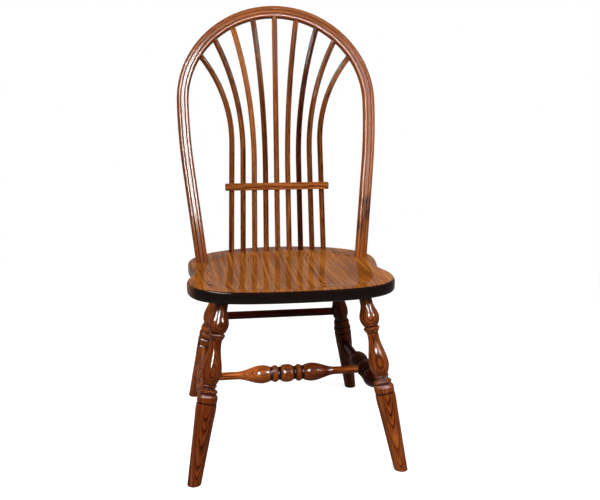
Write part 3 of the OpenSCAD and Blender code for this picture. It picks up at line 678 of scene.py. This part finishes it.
# %% [markdown]
# ## Stretchers
# Two side stretchers join front and rear legs, and the medial stretcher joins those two, so the
# three make an H. All three have the same turning: a ball in the middle, a ring on each side, and a
# vase that thins to a slim end, which goes into the next stick as a tenon. A fourth, plain rail
# joins the rear legs higher up.

# %% Turn the stretchers and the rail
SIDE_FRONT_H, SIDE_REAR_H, MEDIAL_AT, TENON_STOP = 176.5, 158.0, 84.0, 4.0
BALL_R, RING_R, COVE_R, VASE_R, SLIM_R, SLIM_FROM = 22.75, 21.75, 16.5, 23.3, 9.9, 127.0
RAIL_H, RAIL_R = 260.5, 10.7


def at_height(top, toe, h):
    """The point of a leg's axis at this height."""
    top, toe = Vector(top), Vector(toe)
    return toe + (top - toe) * h / (top.z - toe.z)


def half_stretcher(reach):
    """From the middle of the ball outwards to the end of the tenon."""
    return [
        (0, BALL_R, 0), (9, BALL_R - 1, 3), (15.5, COVE_R + 1.5, 3), (20.5, COVE_R, 1),
        (25.5, RING_R - 1.6, 1), (31, RING_R, 2), (36, RING_R - 2.4, 3), (41, COVE_R + 1, 1),
        (47, VASE_R - 3, 1), (63, VASE_R, 2), (SLIM_FROM, SLIM_R, 1), (reach, SLIM_R, 0),
    ]


def whole_stretcher(back_reach, front_reach):
    """Both halves as one list. The back half runs backwards, so each way in moves to the far end."""
    back = half_stretcher(back_reach)
    flipped = []
    for i in range(len(back) - 1, 0, -1):
        z, r, _ = back[i]
        steps = profile_of([(0, back[i - 1][1], 0), (back[i][0] - back[i - 1][0], r, back[i][2])])
        flipped += [(-back[i - 1][0] - dz, dr, 0) for dz, dr in reversed(steps)]
    return flipped + half_stretcher(front_reach)[1:]


def side_ball(side):
    """A side stretcher's two ends, and between them its ball, where the medial stretcher goes in."""
    a, b = (mirrored(at_height(FRONT_TOP, FRONT_TOE, SIDE_FRONT_H), side),
            mirrored(at_height(REAR_TOP, REAR_TOE, SIDE_REAR_H), side))
    return a, a + (b - a) * (-MEDIAL_AT - a.y) / (b.y - a.y), b


def stretcher(node, a, middle, b, log_place, slope, reach, least_painted_shade=0.0):
    """Turn a stretcher from a to b with its ball at the middle; the last argument darkens it all over as
    painted shade.
    """
    stations = whole_stretcher((a - middle).length - TENON_STOP, (b - middle).length - TENON_STOP)
    stick = turn_stick("turned_" + node, stations, middle, b, log_place, slope, oak_turned, reach, least_painted_shade)
    stand_for(stick, node, oak_turned)


# the right side stretcher stands in shade under the seat, and is darkened all over as painted shade
SIDE_GROOVE_REACH, MEDIAL_GROOVE_REACH, RIGHT_STRETCHER_PAINTED_SHADE = 12, 9, 0.6
stretcher("side_stretcher_left", *side_ball(-1), (0.02, 0.07, 3.0), (0.01, 0.004, 0), SIDE_GROOVE_REACH)
stretcher("side_stretcher_right", *side_ball(1), (-0.03, 0.075, 3.7), (-0.01, 0.006, 0), SIDE_GROOVE_REACH,
          RIGHT_STRETCHER_PAINTED_SHADE)
left_ball, right_ball = side_ball(-1)[1], side_ball(1)[1]
stretcher("medial_stretcher", left_ball, (left_ball + right_ball) / 2, right_ball,
          (0.05, 0.07, 4.4), (0.004, 0.010, 0), MEDIAL_GROOVE_REACH)

rail_ends = [mirrored(at_height(REAR_TOP, REAR_TOE, RAIL_H), side) for side in (-1, 1)]
rail_length = (rail_ends[1] - rail_ends[0]).length
rail = turn_stick("turned_rear_rail", [(TENON_STOP, RAIL_R, 0), (rail_length - TENON_STOP, RAIL_R, 0)],
                  rail_ends[0], rail_ends[1], (0.05, 0.05, 5.1), (0.006, 0.004, 0), oak_turned)
stand_for(rail, "rear_rail", oak_turned)

# %% [markdown]
# ## Bending
# The bow and the spindles are steamed and bent, so their grain follows the bend: in the log they
# were straight. One Geometry Nodes tree sweeps a section along a path. While it does so it notes,
# for each point, its place in the section and its distance along the path, and those two
# together are its place in the straight stick before bending.

# %% The bending form as a node tree
def make_bending_form():
    """A tree that sweeps a section along a path, drawn as a wire, and remembers the straight stick."""
    tree = bpy.data.node_groups.new("bending form", "GeometryNodeTree")
    interface(
        tree,
        ("Geometry", "NodeSocketGeometry", None),
        ("Section", "NodeSocketObject", None),
        ("Section width", "NodeSocketFloat", 1.0),
        ("Section depth", "NodeSocketFloat", 1.0),
        ("Back of section", "NodeSocketVector", (0, 1, 0)),
        *LOG_INPUTS,
    )
    into = add(tree, "NodeGroupInput").outputs
    drawn = add(tree, "GeometryNodeObjectInfo", {0: into["Section"]}).outputs["Geometry"]
    size = add(tree, "ShaderNodeCombineXYZ", {0: into["Section depth"], 1: into["Section width"], 2: 1.0})
    section = add(tree, "GeometryNodeTransform", {"Geometry": drawn, "Scale": size})
    section = add(tree, "GeometryNodeMeshToCurve", {0: section})
    point = add(tree, "GeometryNodeInputPosition")
    noted = {"Geometry": section, "Name": "in_section", "Value": point}
    section = add(tree, "GeometryNodeStoreNamedAttribute", noted, data_type="FLOAT_VECTOR", domain="POINT")
    path = add(tree, "GeometryNodeMeshToCurve", {0: into["Geometry"]})
    path = add(tree, "GeometryNodeSetCurveNormal", {"Curve": path, "Normal": into["Back of section"]},
               mode="FREE")
    run = add(tree, "GeometryNodeSplineParameter").outputs["Length"]
    noted = {"Geometry": path, "Name": "run", "Value": run}
    path = add(tree, "GeometryNodeStoreNamedAttribute", noted, data_type="FLOAT", domain="POINT")
    swept = add(tree, "GeometryNodeCurveToMesh", {"Curve": path, "Profile Curve": section, "Fill Caps": True})
    # place in the section and distance along the path together are the place in the straight stick
    across = add(tree, "GeometryNodeInputNamedAttribute", {0: "in_section"}, data_type="FLOAT_VECTOR")
    across = add(tree, "ShaderNodeSeparateXYZ", {0: across}).outputs
    along = add(tree, "GeometryNodeInputNamedAttribute", {0: "run"}, data_type="FLOAT")
    straight = add(tree, "ShaderNodeCombineXYZ", {0: across["Y"], 1: across["X"], 2: along})
    hand_over(tree, into, lay_in_log(tree, into, swept, straight, along))
    return tree


bending_form = make_bending_form()
print("bending form tree:", len(bending_form.nodes), "nodes")


# %% Bend one stick
MERGE = 1e-7


def bend_stick(name, path, section, width, depth, back, log_place, slope, material):
    """Sweep a section along a path in millimetres. The section's x is its depth and y its width."""
    helper = wire(name + "_path", [to_chair(p) for p in path])
    run_through(helper, bending_form, {
        "Section": section, "Section width": width, "Section depth": depth, "Back of section": back,
        "Log place": log_place, "Fibre slope": slope, "Wood": material,
    })
    piece = collect(name, helper)
    for used in ("in_section", "run"):
        if used in piece.data.attributes:
            piece.data.attributes.remove(piece.data.attributes[used])
    with opened(piece.data) as work:
        bmesh.ops.remove_doubles(work, verts=work.verts[:], dist=MERGE)
        bmesh.ops.recalc_face_normals(work, faces=work.faces[:])
    return piece


# %% [markdown]
# ## The bow
# The bow is one hoop: a broad arc over the crown, tighter shoulders, and two legs that close in
# towards the seat. Its front face is moulded with two shallow grooves, cut before it was bent. The
# feet go on into the seat as round tenons, which are hidden.
#
# Low on its right leg the photograph shows a dark figure in the wood. It is laid on as a tone, in
# three soft patches along the leg. The left leg is given painted shade, darker towards its outer
# side than the crown.

# %% Bow lines
def on_bow(u, v):
    """A point across and up the bow's leaning plane, from the middle between its feet."""
    return Vector((u, v * math.sin(BOW_LEAN), SEAT_HEIGHT + v * math.cos(BOW_LEAN)))


crown_v = BOW_RISE - BOW_FACE / 2 - CROWN_R
crown_turn = math.asin((bow_half - SHOULDER_R) / (CROWN_R - SHOULDER_R))
shoulder_u = (CROWN_R - SHOULDER_R) * math.sin(crown_turn)
shoulder_v = crown_v + (CROWN_R - SHOULDER_R) * math.cos(crown_turn)
leg_bend_u = bow_half - BOW_LEG_R
foot_du = BOW_FOOT_SPAN / 2 - leg_bend_u
leg_turn = math.atan2(shoulder_v, foot_du) - math.acos(BOW_LEG_R / math.hypot(foot_du, shoulder_v))
bend_end = (leg_bend_u + BOW_LEG_R * math.cos(leg_turn), shoulder_v - BOW_LEG_R * math.sin(leg_turn))
BOW_FOOT_IN = 12.0


def arc(centre, radius, start, end, step=4.0):
    """Points of an arc, about a step in millimetres apart."""
    count = max(2, math.ceil(abs(end - start) * radius / step))
    return [(centre[0] + radius * math.cos(start + (end - start) * i / count),
             centre[1] + radius * math.sin(start + (end - start) * i / count)) for i in range(count + 1)]


foot = Vector((BOW_FOOT_SPAN / 2, 0))
leg_line = Vector(bend_end) - foot
LEG_STEP = 6.0
straight_steps = math.ceil(leg_line.length / LEG_STEP)
start = foot - leg_line.normalized() * BOW_FOOT_IN
half_bow = [tuple(start)] + [tuple(foot + leg_line * i / straight_steps) for i in range(straight_steps)]
half_bow += arc((leg_bend_u, shoulder_v), BOW_LEG_R, -leg_turn, 0, LEG_STEP)[:-1]
half_bow += arc((shoulder_u, shoulder_v), SHOULDER_R, 0, math.pi / 2 - crown_turn)[:-1]
half_bow += arc((0, crown_v), CROWN_R, math.pi / 2 - crown_turn, math.pi / 2)
whole_bow = half_bow[:-1] + [(-u, v) for u, v in reversed(half_bow)]
print("bow path points:", len(whole_bow))

# %% Bow section and bow
GROOVE_AT, GROOVE_W, GROOVE_DEEP = BOW_FACE / 6, 3.0, 1.2


def rounded_corner(cx, cy, r, a0, steps=6):
    """A quarter of a circle that starts at this angle in degrees."""
    angles = [math.radians(a0 + 90 * j / steps) for j in range(steps + 1)]
    return [(cx + r * math.cos(a), cy + r * math.sin(a)) for a in angles]


def soft_groove(at, face, steps=8):
    """A round-bottomed groove in the front face, from left to right."""
    out = []
    for j in range(steps + 1):
        t = j / steps
        out.append((at + GROOVE_W * (t - 0.5), face + GROOVE_DEEP * math.sin(math.pi * t) ** 1.5))
    return out


def bow_outline():
    """Each flat gets a point just inside its ends, so that it shades flat up to there."""
    x, y, face = BOW_FACE / 2 - BOW_CORNER, BOW_DEPTH / 2 - BOW_CORNER, -BOW_DEPTH / 2
    lip, keep = GROOVE_AT + GROOVE_W / 2, 0.4
    near = [(-x + keep, face), (-lip - keep, face)]
    middle = [(-lip + GROOVE_W + keep, face), (lip - GROOVE_W - keep, face)]
    return (
        rounded_corner(x, y, BOW_CORNER, 0) + [(x - keep, -face), (-x + keep, -face)]
        + rounded_corner(-x, y, BOW_CORNER, 90) + rounded_corner(-x, -y, BOW_CORNER, 180)
        + near + soft_groove(-GROOVE_AT, face) + middle + soft_groove(GROOVE_AT, face)
        + [(-u, v) for u, v in reversed(near)] + rounded_corner(x, -y, BOW_CORNER, 270)
    )


# the bow's grooves are darkened, by stain and by painted shade in them
GROOVE_STAIN_AND_SHADE = 0.55
bow_section = wire("bow_section", [(y * MM, x * MM, 0) for x, y in bow_outline()], closed=True)
bow_front = -BOW_DEPTH / 2 * MM


def groove_depth(point):
    """0 on the bow's face and 1 at the bottom of its grooves."""
    in_front = abs(point.y) < 2 * GROOVE_AT * MM and point.x < 0
    return max(0.0, point.x - bow_front) / (GROOVE_DEEP * MM) if in_front else 0.0


bow_section_stain_and_shade = [GROOVE_STAIN_AND_SHADE * groove_depth(v.co) for v in bow_section.data.vertices]
attribute(bow_section.data, "stain", "FLOAT", bow_section_stain_and_shade)
bow_back = Vector((0, math.cos(BOW_LEAN), -math.sin(BOW_LEAN)))
bow = bend_stick("bent_bow", [on_bow(u, v) for u, v in whole_bow], bow_section, 1.0, 1.0, bow_back,
                 (0.075, 0.02, 6.0), (0.002, 0.001, 0), oak_bow)
stand_for(bow, "bow", oak_bow)

# %% Dark figure and painted shade on the bow
FIGURE = (  # height, place across, half length in metres, and how dark
    (0.588, 0.002, 0.014, 1.0),
    (0.562, 0.008, 0.022, 0.95),
    (0.526, -0.008, 0.016, 0.8),
)
# how deep the painted shade on the bow's left leg goes
FIGURE_HALF_W, LEFT_LEG_PAINTED_SHADE, RIGHT_LEG_FROM = 0.013, 0.45, 0.1


def right_leg_x(z):
    """Where the middle of the bow's right leg is at this height, in metres."""
    return 0.2075 + 0.167 * (z - 0.5)


def bow_figure_and_shade(point):
    """A dark figure in three patches low on the right leg, and painted shade that makes the left leg darker
    than the crown.
    """
    if point.x < RIGHT_LEG_FROM:
        return LEFT_LEG_PAINTED_SHADE * min(1.0, max(0.0, -point.x / 0.2 - 0.3))
    across = point.x - right_leg_x(point.z)
    return max(dark * math.exp(-((point.z - height) / reach) ** 2 - ((across - side) / FIGURE_HALF_W) ** 2)
               for height, side, reach, dark in FIGURE)


attribute(bow.data, "tone", "FLOAT", [bow_figure_and_shade(v.co) for v in bow.data.vertices])

# %% [markdown]
# ## The spindles
# Nine round rods stand in a row in the seat, pass behind the cross slat, and end in the underside
# of the bow, evenly spread. The middle one is straight. The others rise straight from the
# seat and then turn outwards on one arc each, the outer ones later and more sharply, and that is
# what draws the sheaf.

# %% Spindle lines
SPINDLE_IN = 13.5
MIDDLE_STEPS, STRAIGHT_STEPS, BEND_STEPS = 40, 30, 60


def spindle_foot(k):
    """Where spindle k enters the seat, with k from -4 on the left to 4 on the right."""
    return Vector((k * SPINDLE_PITCH, SPINDLE_ROW, SEAT_HEIGHT))


def spindle_top(k):
    r = CROWN_R - BOW_FACE / 2
    return on_bow(r * math.sin(k * SPINDLE_FAN), crown_v + r * math.cos(k * SPINDLE_FAN))


middle_line = spindle_top(0) - spindle_foot(0)
spindle_slope = middle_line.y / middle_line.z


def spindle_path(k):
    """A spindle's middle line, from in the seat to in the bow."""
    foot = spindle_foot(k)
    if k == 0:
        rise = middle_line.normalized()
        straight = [foot + middle_line * i / MIDDLE_STEPS for i in range(MIDDLE_STEPS)]
        return [foot - rise * SPINDLE_IN] + straight + [spindle_top(0) + rise * SPINDLE_IN]
    rise = Vector((k * (SPINDLE_SLAT_PITCH - SPINDLE_PITCH) / SLAT_UP, spindle_slope, 1)).normalized()
    run = SPINDLE_STRAIGHT + SPINDLE_STEP * (abs(k) - 1)
    bend = foot + rise * run
    chord = spindle_top(k) - bend
    out = (chord - rise * chord.dot(rise)).normalized()
    angle = 2 * math.atan2(chord.dot(out), chord.dot(rise))
    radius = chord.length_squared / (2 * chord.dot(out))
    straight = [foot + rise * run * i / STRAIGHT_STEPS for i in range(STRAIGHT_STEPS)]
    points = [foot - rise * SPINDLE_IN] + straight
    for i in range(BEND_STEPS + 1):
        turn = angle * i / BEND_STEPS
        points.append(bend + rise * radius * math.sin(turn) + out * radius * (1 - math.cos(turn)))
    last = rise * math.cos(angle) + out * math.sin(angle)
    return points + [points[-1] + last * SPINDLE_IN]


# %% Bend the spindles
ROD_SIDES = 40
turns = [2 * math.pi * i / ROD_SIDES for i in range(ROD_SIDES)]
rod_section = wire("rod_section", [(0.5 * math.cos(a), 0.5 * math.sin(a), 0) for a in turns], closed=True)
ROD_LOGS = [  # where each rod lay beside the pith, in metres
    (0.04, 0.03), (0.02, 0.06), (0.07, 0.01), (0.05, 0.05), (0.06, -0.02),
    (0.03, 0.05), (0.01, 0.06), (0.06, 0.03), (0.02, 0.04),
]
for number in range(9):
    k = number - 4
    log_x, log_y = ROD_LOGS[number]
    rod = bend_stick(
        f"bent_spindle_{number + 1}", spindle_path(k), rod_section, SPINDLE_D * MM, SPINDLE_D * MM, bow_back,
        (log_x, log_y, 7.0 + 0.9 * number), (0.004 * (-1) ** number, 0.003, 0), oak_rod)
    stand_for(rod, f"spindle_{number + 1}", oak_rod)
for pattern in (rod_section, bow_section):
    bpy.data.objects.remove(pattern)

# %% [markdown]
# ## The seat
# The seat is a slab of five boards glued edge to edge, sawn to a waisted outline, rounded over
# at its edges and scooped by hand or by a big cutter. The whole skin is drawn first, as rings
# from the middle of the underside round the edge and in over the scoop, and then the slab is cut
# along the glue lines, so the boards meet without a step.

# %% Seat outline and scoop
EDGE_STEPS = 48
REAR_LOBE_AT = -2
BACK_SHAPE, WAIST_BACK_SHAPE, WAIST_FRONT_SHAPE, FRONT_SHAPE = (154, 72), (38, 16), (16, 31), (95, 170)


def cubic(a, b, c, d, t):
    """A point at share t of a curve from a to d that b and c pull out."""
    return (a * (1 - t) ** 3 + b * 3 * (1 - t) ** 2 * t + c * 3 * (1 - t) * t * t + d * t ** 3)


def half_edge():
    """The right half of the outline: back, rear lobe, waist, front lobe, front."""
    b, r = Vector((0, SEAT_BACK)), Vector((SEAT_REAR_W / 2, -REAR_LOBE_AT))
    w, f = Vector((SEAT_WAIST_W / 2, -SEAT_WAIST_AT)), Vector((0, -SEAT_FRONT))
    lobe, n = Vector((SEAT_FRONT_W / 2, -SEAT_LOBE_AT)), EDGE_STEPS
    stretches = (
        (b, b + Vector((BACK_SHAPE[0], 0)), r + Vector((0, BACK_SHAPE[1])), r, n),
        (r, r - Vector((0, WAIST_BACK_SHAPE[0])), w + Vector((0, WAIST_BACK_SHAPE[1])), w, n // 2),
        (w, w - Vector((0, WAIST_FRONT_SHAPE[0])), lobe + Vector((0, WAIST_FRONT_SHAPE[1])), lobe, n // 2),
        (lobe, lobe - Vector((0, FRONT_SHAPE[0])), f + Vector((FRONT_SHAPE[1], 0)), f, n),
    )
    points = [cubic(*s[:4], i / s[4]) for s in stretches for i in range(s[4])]
    return points + [f]


def whole_edge():
    half = half_edge()
    return half + [Vector((-p.x, p.y)) for p in reversed(half[1:-1])]


SCOOP_POWER, DECK_FALL_FROM = 3.2, 60.0
scoop_mid = Vector((0, (SCOOP_BACK - SCOOP_FRONT) / 2))
scoop_half = (SCOOP_BACK + SCOOP_FRONT) / 2


def scoop_rim(p):
    """From the middle of the scoop to its rim, towards p; the rim is a squarish oval."""
    d = p - scoop_mid
    across, along = abs(d.x) / (SCOOP_W / 2), abs(d.y) / scoop_half
    return d / (across ** SCOOP_POWER + along ** SCOOP_POWER) ** (1 / SCOOP_POWER)


def deck_z(y):
    """The deck's height: level, then falling a little to the front."""
    t = min(1.0, max(0.0, (-DECK_FALL_FROM - y) / (SEAT_FRONT - DECK_FALL_FROM)))
    return SEAT_HEIGHT - DECK_FALL * t * t * (3 - 2 * t)


def on_deck(p, deep=0.0):
    """The point of the deck at p, or so far below it."""
    return Vector((p.x, p.y, deck_z(p.y) - deep))


# %% Seat skin
# the underside is darkened as painted shade; the edges take real stain, most where they are end grain
EDGE_STAIN_FROM, EDGE_STAIN_FULL, SIDE_STAIN, UNDER_SEAT_PAINTED_SHADE = math.radians(80), math.radians(62), 0.3, 0.6
END_GRAIN_FROM = 0.6  # how squarely an edge faces front or back before it is all end grain
UNDER_SHARES, DECK_SHARES = (0.2, 0.5, 0.8), (0.25, 0.5, 0.75)
BOTTOM_STEPS, TOP_STEPS, SCOOP_RINGS, SCOOP_WALL = 8, 10, 27, 5


def seat_skin():
    """Points, how dark each is, and faces. Front and back edge are end grain, which drinks more stain; the
    underside is painted shade.
    """
    edge = whole_edge()
    m = len(edge)
    tangents = [(edge[(i + 1) % m] - edge[i - 1]).normalized() for i in range(m)]
    inward = [Vector((t.y, -t.x)) for t in tangents]
    drink = [SIDE_STAIN + (1 - SIDE_STAIN) * min(1.0, abs(n.y) / END_GRAIN_FROM) for n in inward]
    rings, stain = [], []
    for share in UNDER_SHARES:
        stain += [UNDER_SEAT_PAINTED_SHADE] * m
        rings.append([Vector((*(scoop_mid + (e - scoop_mid) * share), SEAT_UNDER)) for e in edge])
    for j in range(BOTTOM_STEPS + 1):
        a = math.pi / 2 * j / BOTTOM_STEPS
        stain += drink
        z = SEAT_UNDER + BOTTOM_ROUND * (1 - math.cos(a))
        rings.append([Vector((*(e + n * BOTTOM_ROUND * (1 - math.sin(a))), z)) for e, n in zip(edge, inward)])
    for j in range(TOP_STEPS + 1):
        a = math.pi / 2 * j / TOP_STEPS
        rings.append([on_deck(e + n * TOP_ROUND * (1 - math.cos(a)), TOP_ROUND * (1 - math.sin(a)))
                      for e, n in zip(edge, inward)])
        taken = (EDGE_STAIN_FROM - a) / (EDGE_STAIN_FROM - EDGE_STAIN_FULL)
        stain += [d * min(1.0, max(0.0, taken)) for d in drink]
    outer = [p.xy for p in rings[-1]]
    for share in DECK_SHARES:
        rings.append([on_deck(o.lerp(scoop_mid + scoop_rim(e), share)) for e, o in zip(edge, outer)])
    for j in range(SCOOP_RINGS):
        share = 1 - j / SCOOP_RINGS
        depth = SCOOP_DEPTH * (1 - share ** SCOOP_WALL)
        rings.append([on_deck(scoop_mid + scoop_rim(e) * share, depth) for e in edge])
    verts = [p for ring in rings for p in ring]
    verts += [Vector((*scoop_mid, SEAT_UNDER)), on_deck(scoop_mid, SCOOP_DEPTH)]
    stain += [0.0] * (len(verts) - len(stain))
    faces = [(j * m + i, j * m + (i + 1) % m, (j + 1) * m + (i + 1) % m, (j + 1) * m + i)
             for j in range(len(rings) - 1) for i in range(m)]
    under, over, last = len(verts) - 2, len(verts) - 1, (len(rings) - 1) * m
    faces += [(under, (i + 1) % m, i) for i in range(m)]
    faces += [(over, last + i, last + (i + 1) % m) for i in range(m)]
    return [to_chair(p) for p in verts], stain, faces


skin_points, skin_stain_and_shade, skin_faces = seat_skin()
print("seat skin:", len(skin_faces), "faces")

# %% Saw the seat into its boards
BOW_TENON_R, PAST_SEAT, SEAT_HALF_ABOUT = 9.0, 400.0, 245.0
glue_1 = 2.5 * SPINDLE_PITCH  # midway between two spindles
glue_2 = (FRONT_TOP[0] + LEG_TOP_R + BOW_FOOT_SPAN / 2 - BOW_TENON_R) / 2  # between front leg and bow foot
glue_lines = (-PAST_SEAT, -glue_2, -glue_1, glue_1, glue_2, PAST_SEAT)
BOARD_LOGS = [  # pith from the board's middle (across, up), place along the log, fibre slope (across, up)
    (-0.030, 0.050, 16.0, -0.02, 0.07),
    (-0.085, 0.045, 17.0, -0.015, 0.05),
    (-0.095, 0.060, 18.2, 0.01, 0.03),
    (-0.110, 0.040, 19.6, -0.03, 0.02),
    (-0.060, 0.050, 20.3, -0.05, 0.04),
]


def seat_board(number):
    """Saw one board out of the skin, close its glued sides, and give it its place in the log."""
    left, right_line = glue_lines[number - 1], glue_lines[number]
    mesh = bpy.data.meshes.new(f"carved_seat_board_{number}")
    mesh.from_pydata([tuple(p) for p in skin_points], [], skin_faces)
    attribute(mesh, "stain", "FLOAT", skin_stain_and_shade)
    with opened(mesh) as work:
        bmesh.ops.recalc_face_normals(work, faces=work.faces[:])
        for line, way in ((left, -1), (right_line, 1)):
            if abs(line) < PAST_SEAT:
                saw(work, (line * MM, 0, 0), (way, 0, 0))
        bmesh.ops.triangulate(work, faces=[f for f in work.faces if len(f.verts) > 4])
        bmesh.ops.recalc_face_normals(work, faces=work.faces[:])
    middle = (max(left, -SEAT_HALF_ABOUT) + min(right_line, SEAT_HALF_ABOUT)) / 2 * MM
    px, py, along, sx, sy = BOARD_LOGS[number - 1]
    log = []
    for v in mesh.vertices:
        run = -v.co.y
        log += [v.co.x - middle + px + sx * run, v.co.z - SEAT_HEIGHT * MM + py + sy * run, run + along]
    attribute(mesh, "timber", "FLOAT_VECTOR", log)
    stand_for(put(mesh.name, mesh), f"seat_board_{number}", oak_seat)


for number in range(1, 6):
    seat_board(number)

# %% [markdown]
# ## The cross slat
# A thin flat rail ties the spindles at a quarter of their height, in front of them. It is notched
# at the back, so the spindles sit in it a little. Its corners and edges are softly rounded.

# %% Cross slat
SLAT_CORNER, SLAT_EASE = 3.0, 1.5
SLAT_LOG = Vector((0.06, 0.03, 22.0))  # in metres, for the middle of the slat


def make_slat():
    """Grow the slat backwards from its front face and ease the edges of both faces."""
    y_face = SPINDLE_ROW + SLAT_UP * spindle_slope - SPINDLE_D / 2 + SLAT_NOTCH
    x, z, level = SLAT_LENGTH / 2 - SLAT_CORNER, SLAT_FACE / 2 - SLAT_CORNER, SEAT_HEIGHT + SLAT_UP
    corners = ((x, z, 0), (-x, z, 90), (-x, -z, 180), (x, -z, 270))
    outline = [p for cx, cz, a in corners for p in rounded_corner(cx, cz, SLAT_CORNER, a)]
    mesh = bpy.data.meshes.new("planed_cross_slat")
    with opened(mesh) as work:
        front = [to_chair((px, y_face - SLAT_THICK, level + pz)) for px, pz in outline]
        face = work.faces.new([work.verts.new(p) for p in front])
        grown = bmesh.ops.extrude_face_region(work, geom=[face])["geom"]
        back = [v for v in grown if isinstance(v, bmesh.types.BMVert)]
        bmesh.ops.translate(work, vec=(0, SLAT_THICK * MM, 0), verts=back)
        rims = [e for e in work.edges if len({round(v.co.y, 5) for v in e.verts}) == 1]
        bmesh.ops.bevel(work, geom=rims, offset=SLAT_EASE * MM, segments=4, affect="EDGES", profile=0.5)
        bmesh.ops.recalc_face_normals(work, faces=work.faces[:])
    log = []
    for v in mesh.vertices:
        log += [v.co.z - level * MM + SLAT_LOG.x, v.co.y + SLAT_LOG.y, v.co.x + SLAT_LOG.z]
    attribute(mesh, "timber", "FLOAT_VECTOR", log)
    return put(mesh.name, mesh)


stand_for(make_slat(), "cross_slat", oak_rod)

# %% [markdown]
# ## Studio
# The photograph shows the chair on pure white with hardly a shadow. The camera and the mirror-like
# lacquer see a white world and a nearly white floor, and only rays that carry light to the wood
# meet something dimmer, so that the stain keeps its depth. Close to the chair the floor is part
# paper, which takes the shadow, and part plain white glow; further out the glow takes over, so
# that the floor meets the world without a line.
#
# The light comes from four soft boxes, most of it from the left and the front. The lacquer
# mirrors windows instead. Three of them reach the turned wood and the spindles, and the two tall
# narrow ones make the upright streaks that every bulb and vase of the chair has. Two more are for
# the bow alone, and a broad one lays a sheen on the seat. Light linking ties each window to its
# pieces, and a lamp's ray visibility says whether it lights the wood or shows in the lacquer.

# %% Floor
FLOOR_HALF, PAPER_TO, GLOW_FROM = 30.0, 0.5, 2.2
PAPER_GLOW = 0.62


def looking(tree):
    """1 for rays from the camera, from a mirror or through glass, and 0 for those that carry light."""
    ray = add(tree, "ShaderNodeLightPath").outputs
    seen = ray["Is Camera Ray"]
    for other in ("Is Glossy Ray", "Is Transmission Ray"):
        seen = add(tree, "ShaderNodeMath", {0: seen, 1: ray[other]}, operation="MAXIMUM")
    return seen


floor_mesh = bpy.data.meshes.new("floor")
corners = [(x * FLOOR_HALF, y * FLOOR_HALF, 0) for x, y in ((-1, -1), (1, -1), (1, 1), (-1, 1))]
floor_mesh.from_pydata(corners, [], [(0, 1, 2, 3)])
floor = put("floor", floor_mesh)
paper = bpy.data.materials.new("white_paper_floor")
tree = empty_tree(paper)
place = add(tree, "ShaderNodeTexCoord").outputs["Object"]
away = add(tree, "ShaderNodeVectorMath", {0: place}, operation="LENGTH").outputs["Value"]
far = add(tree, "ShaderNodeMapRange", {0: away, 1: PAPER_TO, 2: GLOW_FROM}, interpolation_type="SMOOTHSTEP")
lit = add(tree, "ShaderNodeBsdfDiffuse", {"Color": linear("#c8c8c8")})
glow = add(tree, "ShaderNodeEmission", {"Color": (1, 1, 1, 1), "Strength": PAPER_GLOW})
near = add(tree, "ShaderNodeAddShader", {0: lit, 1: glow})
white = add(tree, "ShaderNodeEmission", {"Color": (1, 1, 1, 1), "Strength": 1.0})
shown = add(tree, "ShaderNodeMixShader", {0: far, 1: near, 2: white})
bounce = add(tree, "ShaderNodeBsdfDiffuse", {"Color": linear("#606060")})
surface = add(tree, "ShaderNodeMixShader", {0: looking(tree), 1: bounce, 2: shown})
add(tree, "ShaderNodeOutputMaterial", {0: surface})
floor_mesh.materials.append(paper)
print("floor:", 2 * FLOOR_HALF, "m square")

# %% World
AMBIENT = 0.2
world = bpy.data.worlds.new("studio")
bpy.context.scene.world = world
sky = empty_tree(world)
strength = add(sky, "ShaderNodeMapRange", {0: looking(sky), 3: AMBIENT, 4: 1.0})
glow = add(sky, "ShaderNodeBackground", {"Color": (1, 1, 1, 1), "Strength": strength})
add(sky, "ShaderNodeOutputWorld", {0: glow})
print("light that the world gives:", AMBIENT)


# %% Soft boxes and windows
def lamp(name, at, size, watts, diffuse=True, glossy=True, only=None, target=(0, 0, 0.5)):
    """An area lamp. It may light the wood (diffuse), be mirrored by the lacquer (glossy), or both."""
    data = bpy.data.lights.new(name, "AREA")
    data.shape, data.size, data.size_y, data.energy = "RECTANGLE", size[0], size[1], watts
    thing = put(name, data)
    thing.location = at
    thing.rotation_euler = (Vector(target) - Vector(at)).to_track_quat("-Z", "Y").to_euler()
    thing.visible_camera, thing.visible_diffuse, thing.visible_glossy = False, diffuse, glossy
    if only:
        group = bpy.data.collections.new(name + " reaches")
        for piece in only:
            group.objects.link(piece)
        thing.light_linking.receiver_collection = group


shaded = ("turned_rear_leg_right", "turned_rear_rail")  # in the seat's shade, out of the windows' reach
pieces = [o for o in bpy.context.scene.objects if o.name not in shaded]
boards = [o for o in pieces if o.name.startswith("carved_")]
turned = [o for o in pieces if o.name.startswith(("turned_", "bent_spindle"))]
lamp("left box", (-1.75, -1.25, 1.85), (0.8, 1.2), 58, glossy=False)
lamp("front box", (0.3, -2.5, 1.9), (0.9, 0.9), 38, glossy=False)
lamp("right box", (1.6, -1.0, 2.0), (0.6, 1.0), 38, glossy=False)
lamp("back box", (-0.9, 1.9, 2.3), (1.2, 0.8), 26, glossy=False)
lamp("left window", (-1.7, -0.75, 2.15), (0.45, 1.0), 1700, diffuse=False, only=turned)
lamp("middle window", (-0.62, -2.3, 2.25), (0.28, 1.8), 2500, diffuse=False, only=turned)
lamp("right window", (1.75, -1.8, 2.25), (0.3, 1.8), 2300, diffuse=False, only=turned)
lamp("bow window", (0.08, -2.25, 1.85), (0.6, 0.9), 1150, diffuse=False, only=[bow])
lamp("bow side window", (0.85, -2.2, 1.9), (0.5, 0.9), 90, diffuse=False, only=[bow])
lamp("seat window", (-0.9, -0.3, 2.5), (1.4, 0.4), 110, diffuse=False, only=boards, target=(-0.1, -0.2, 0.45))
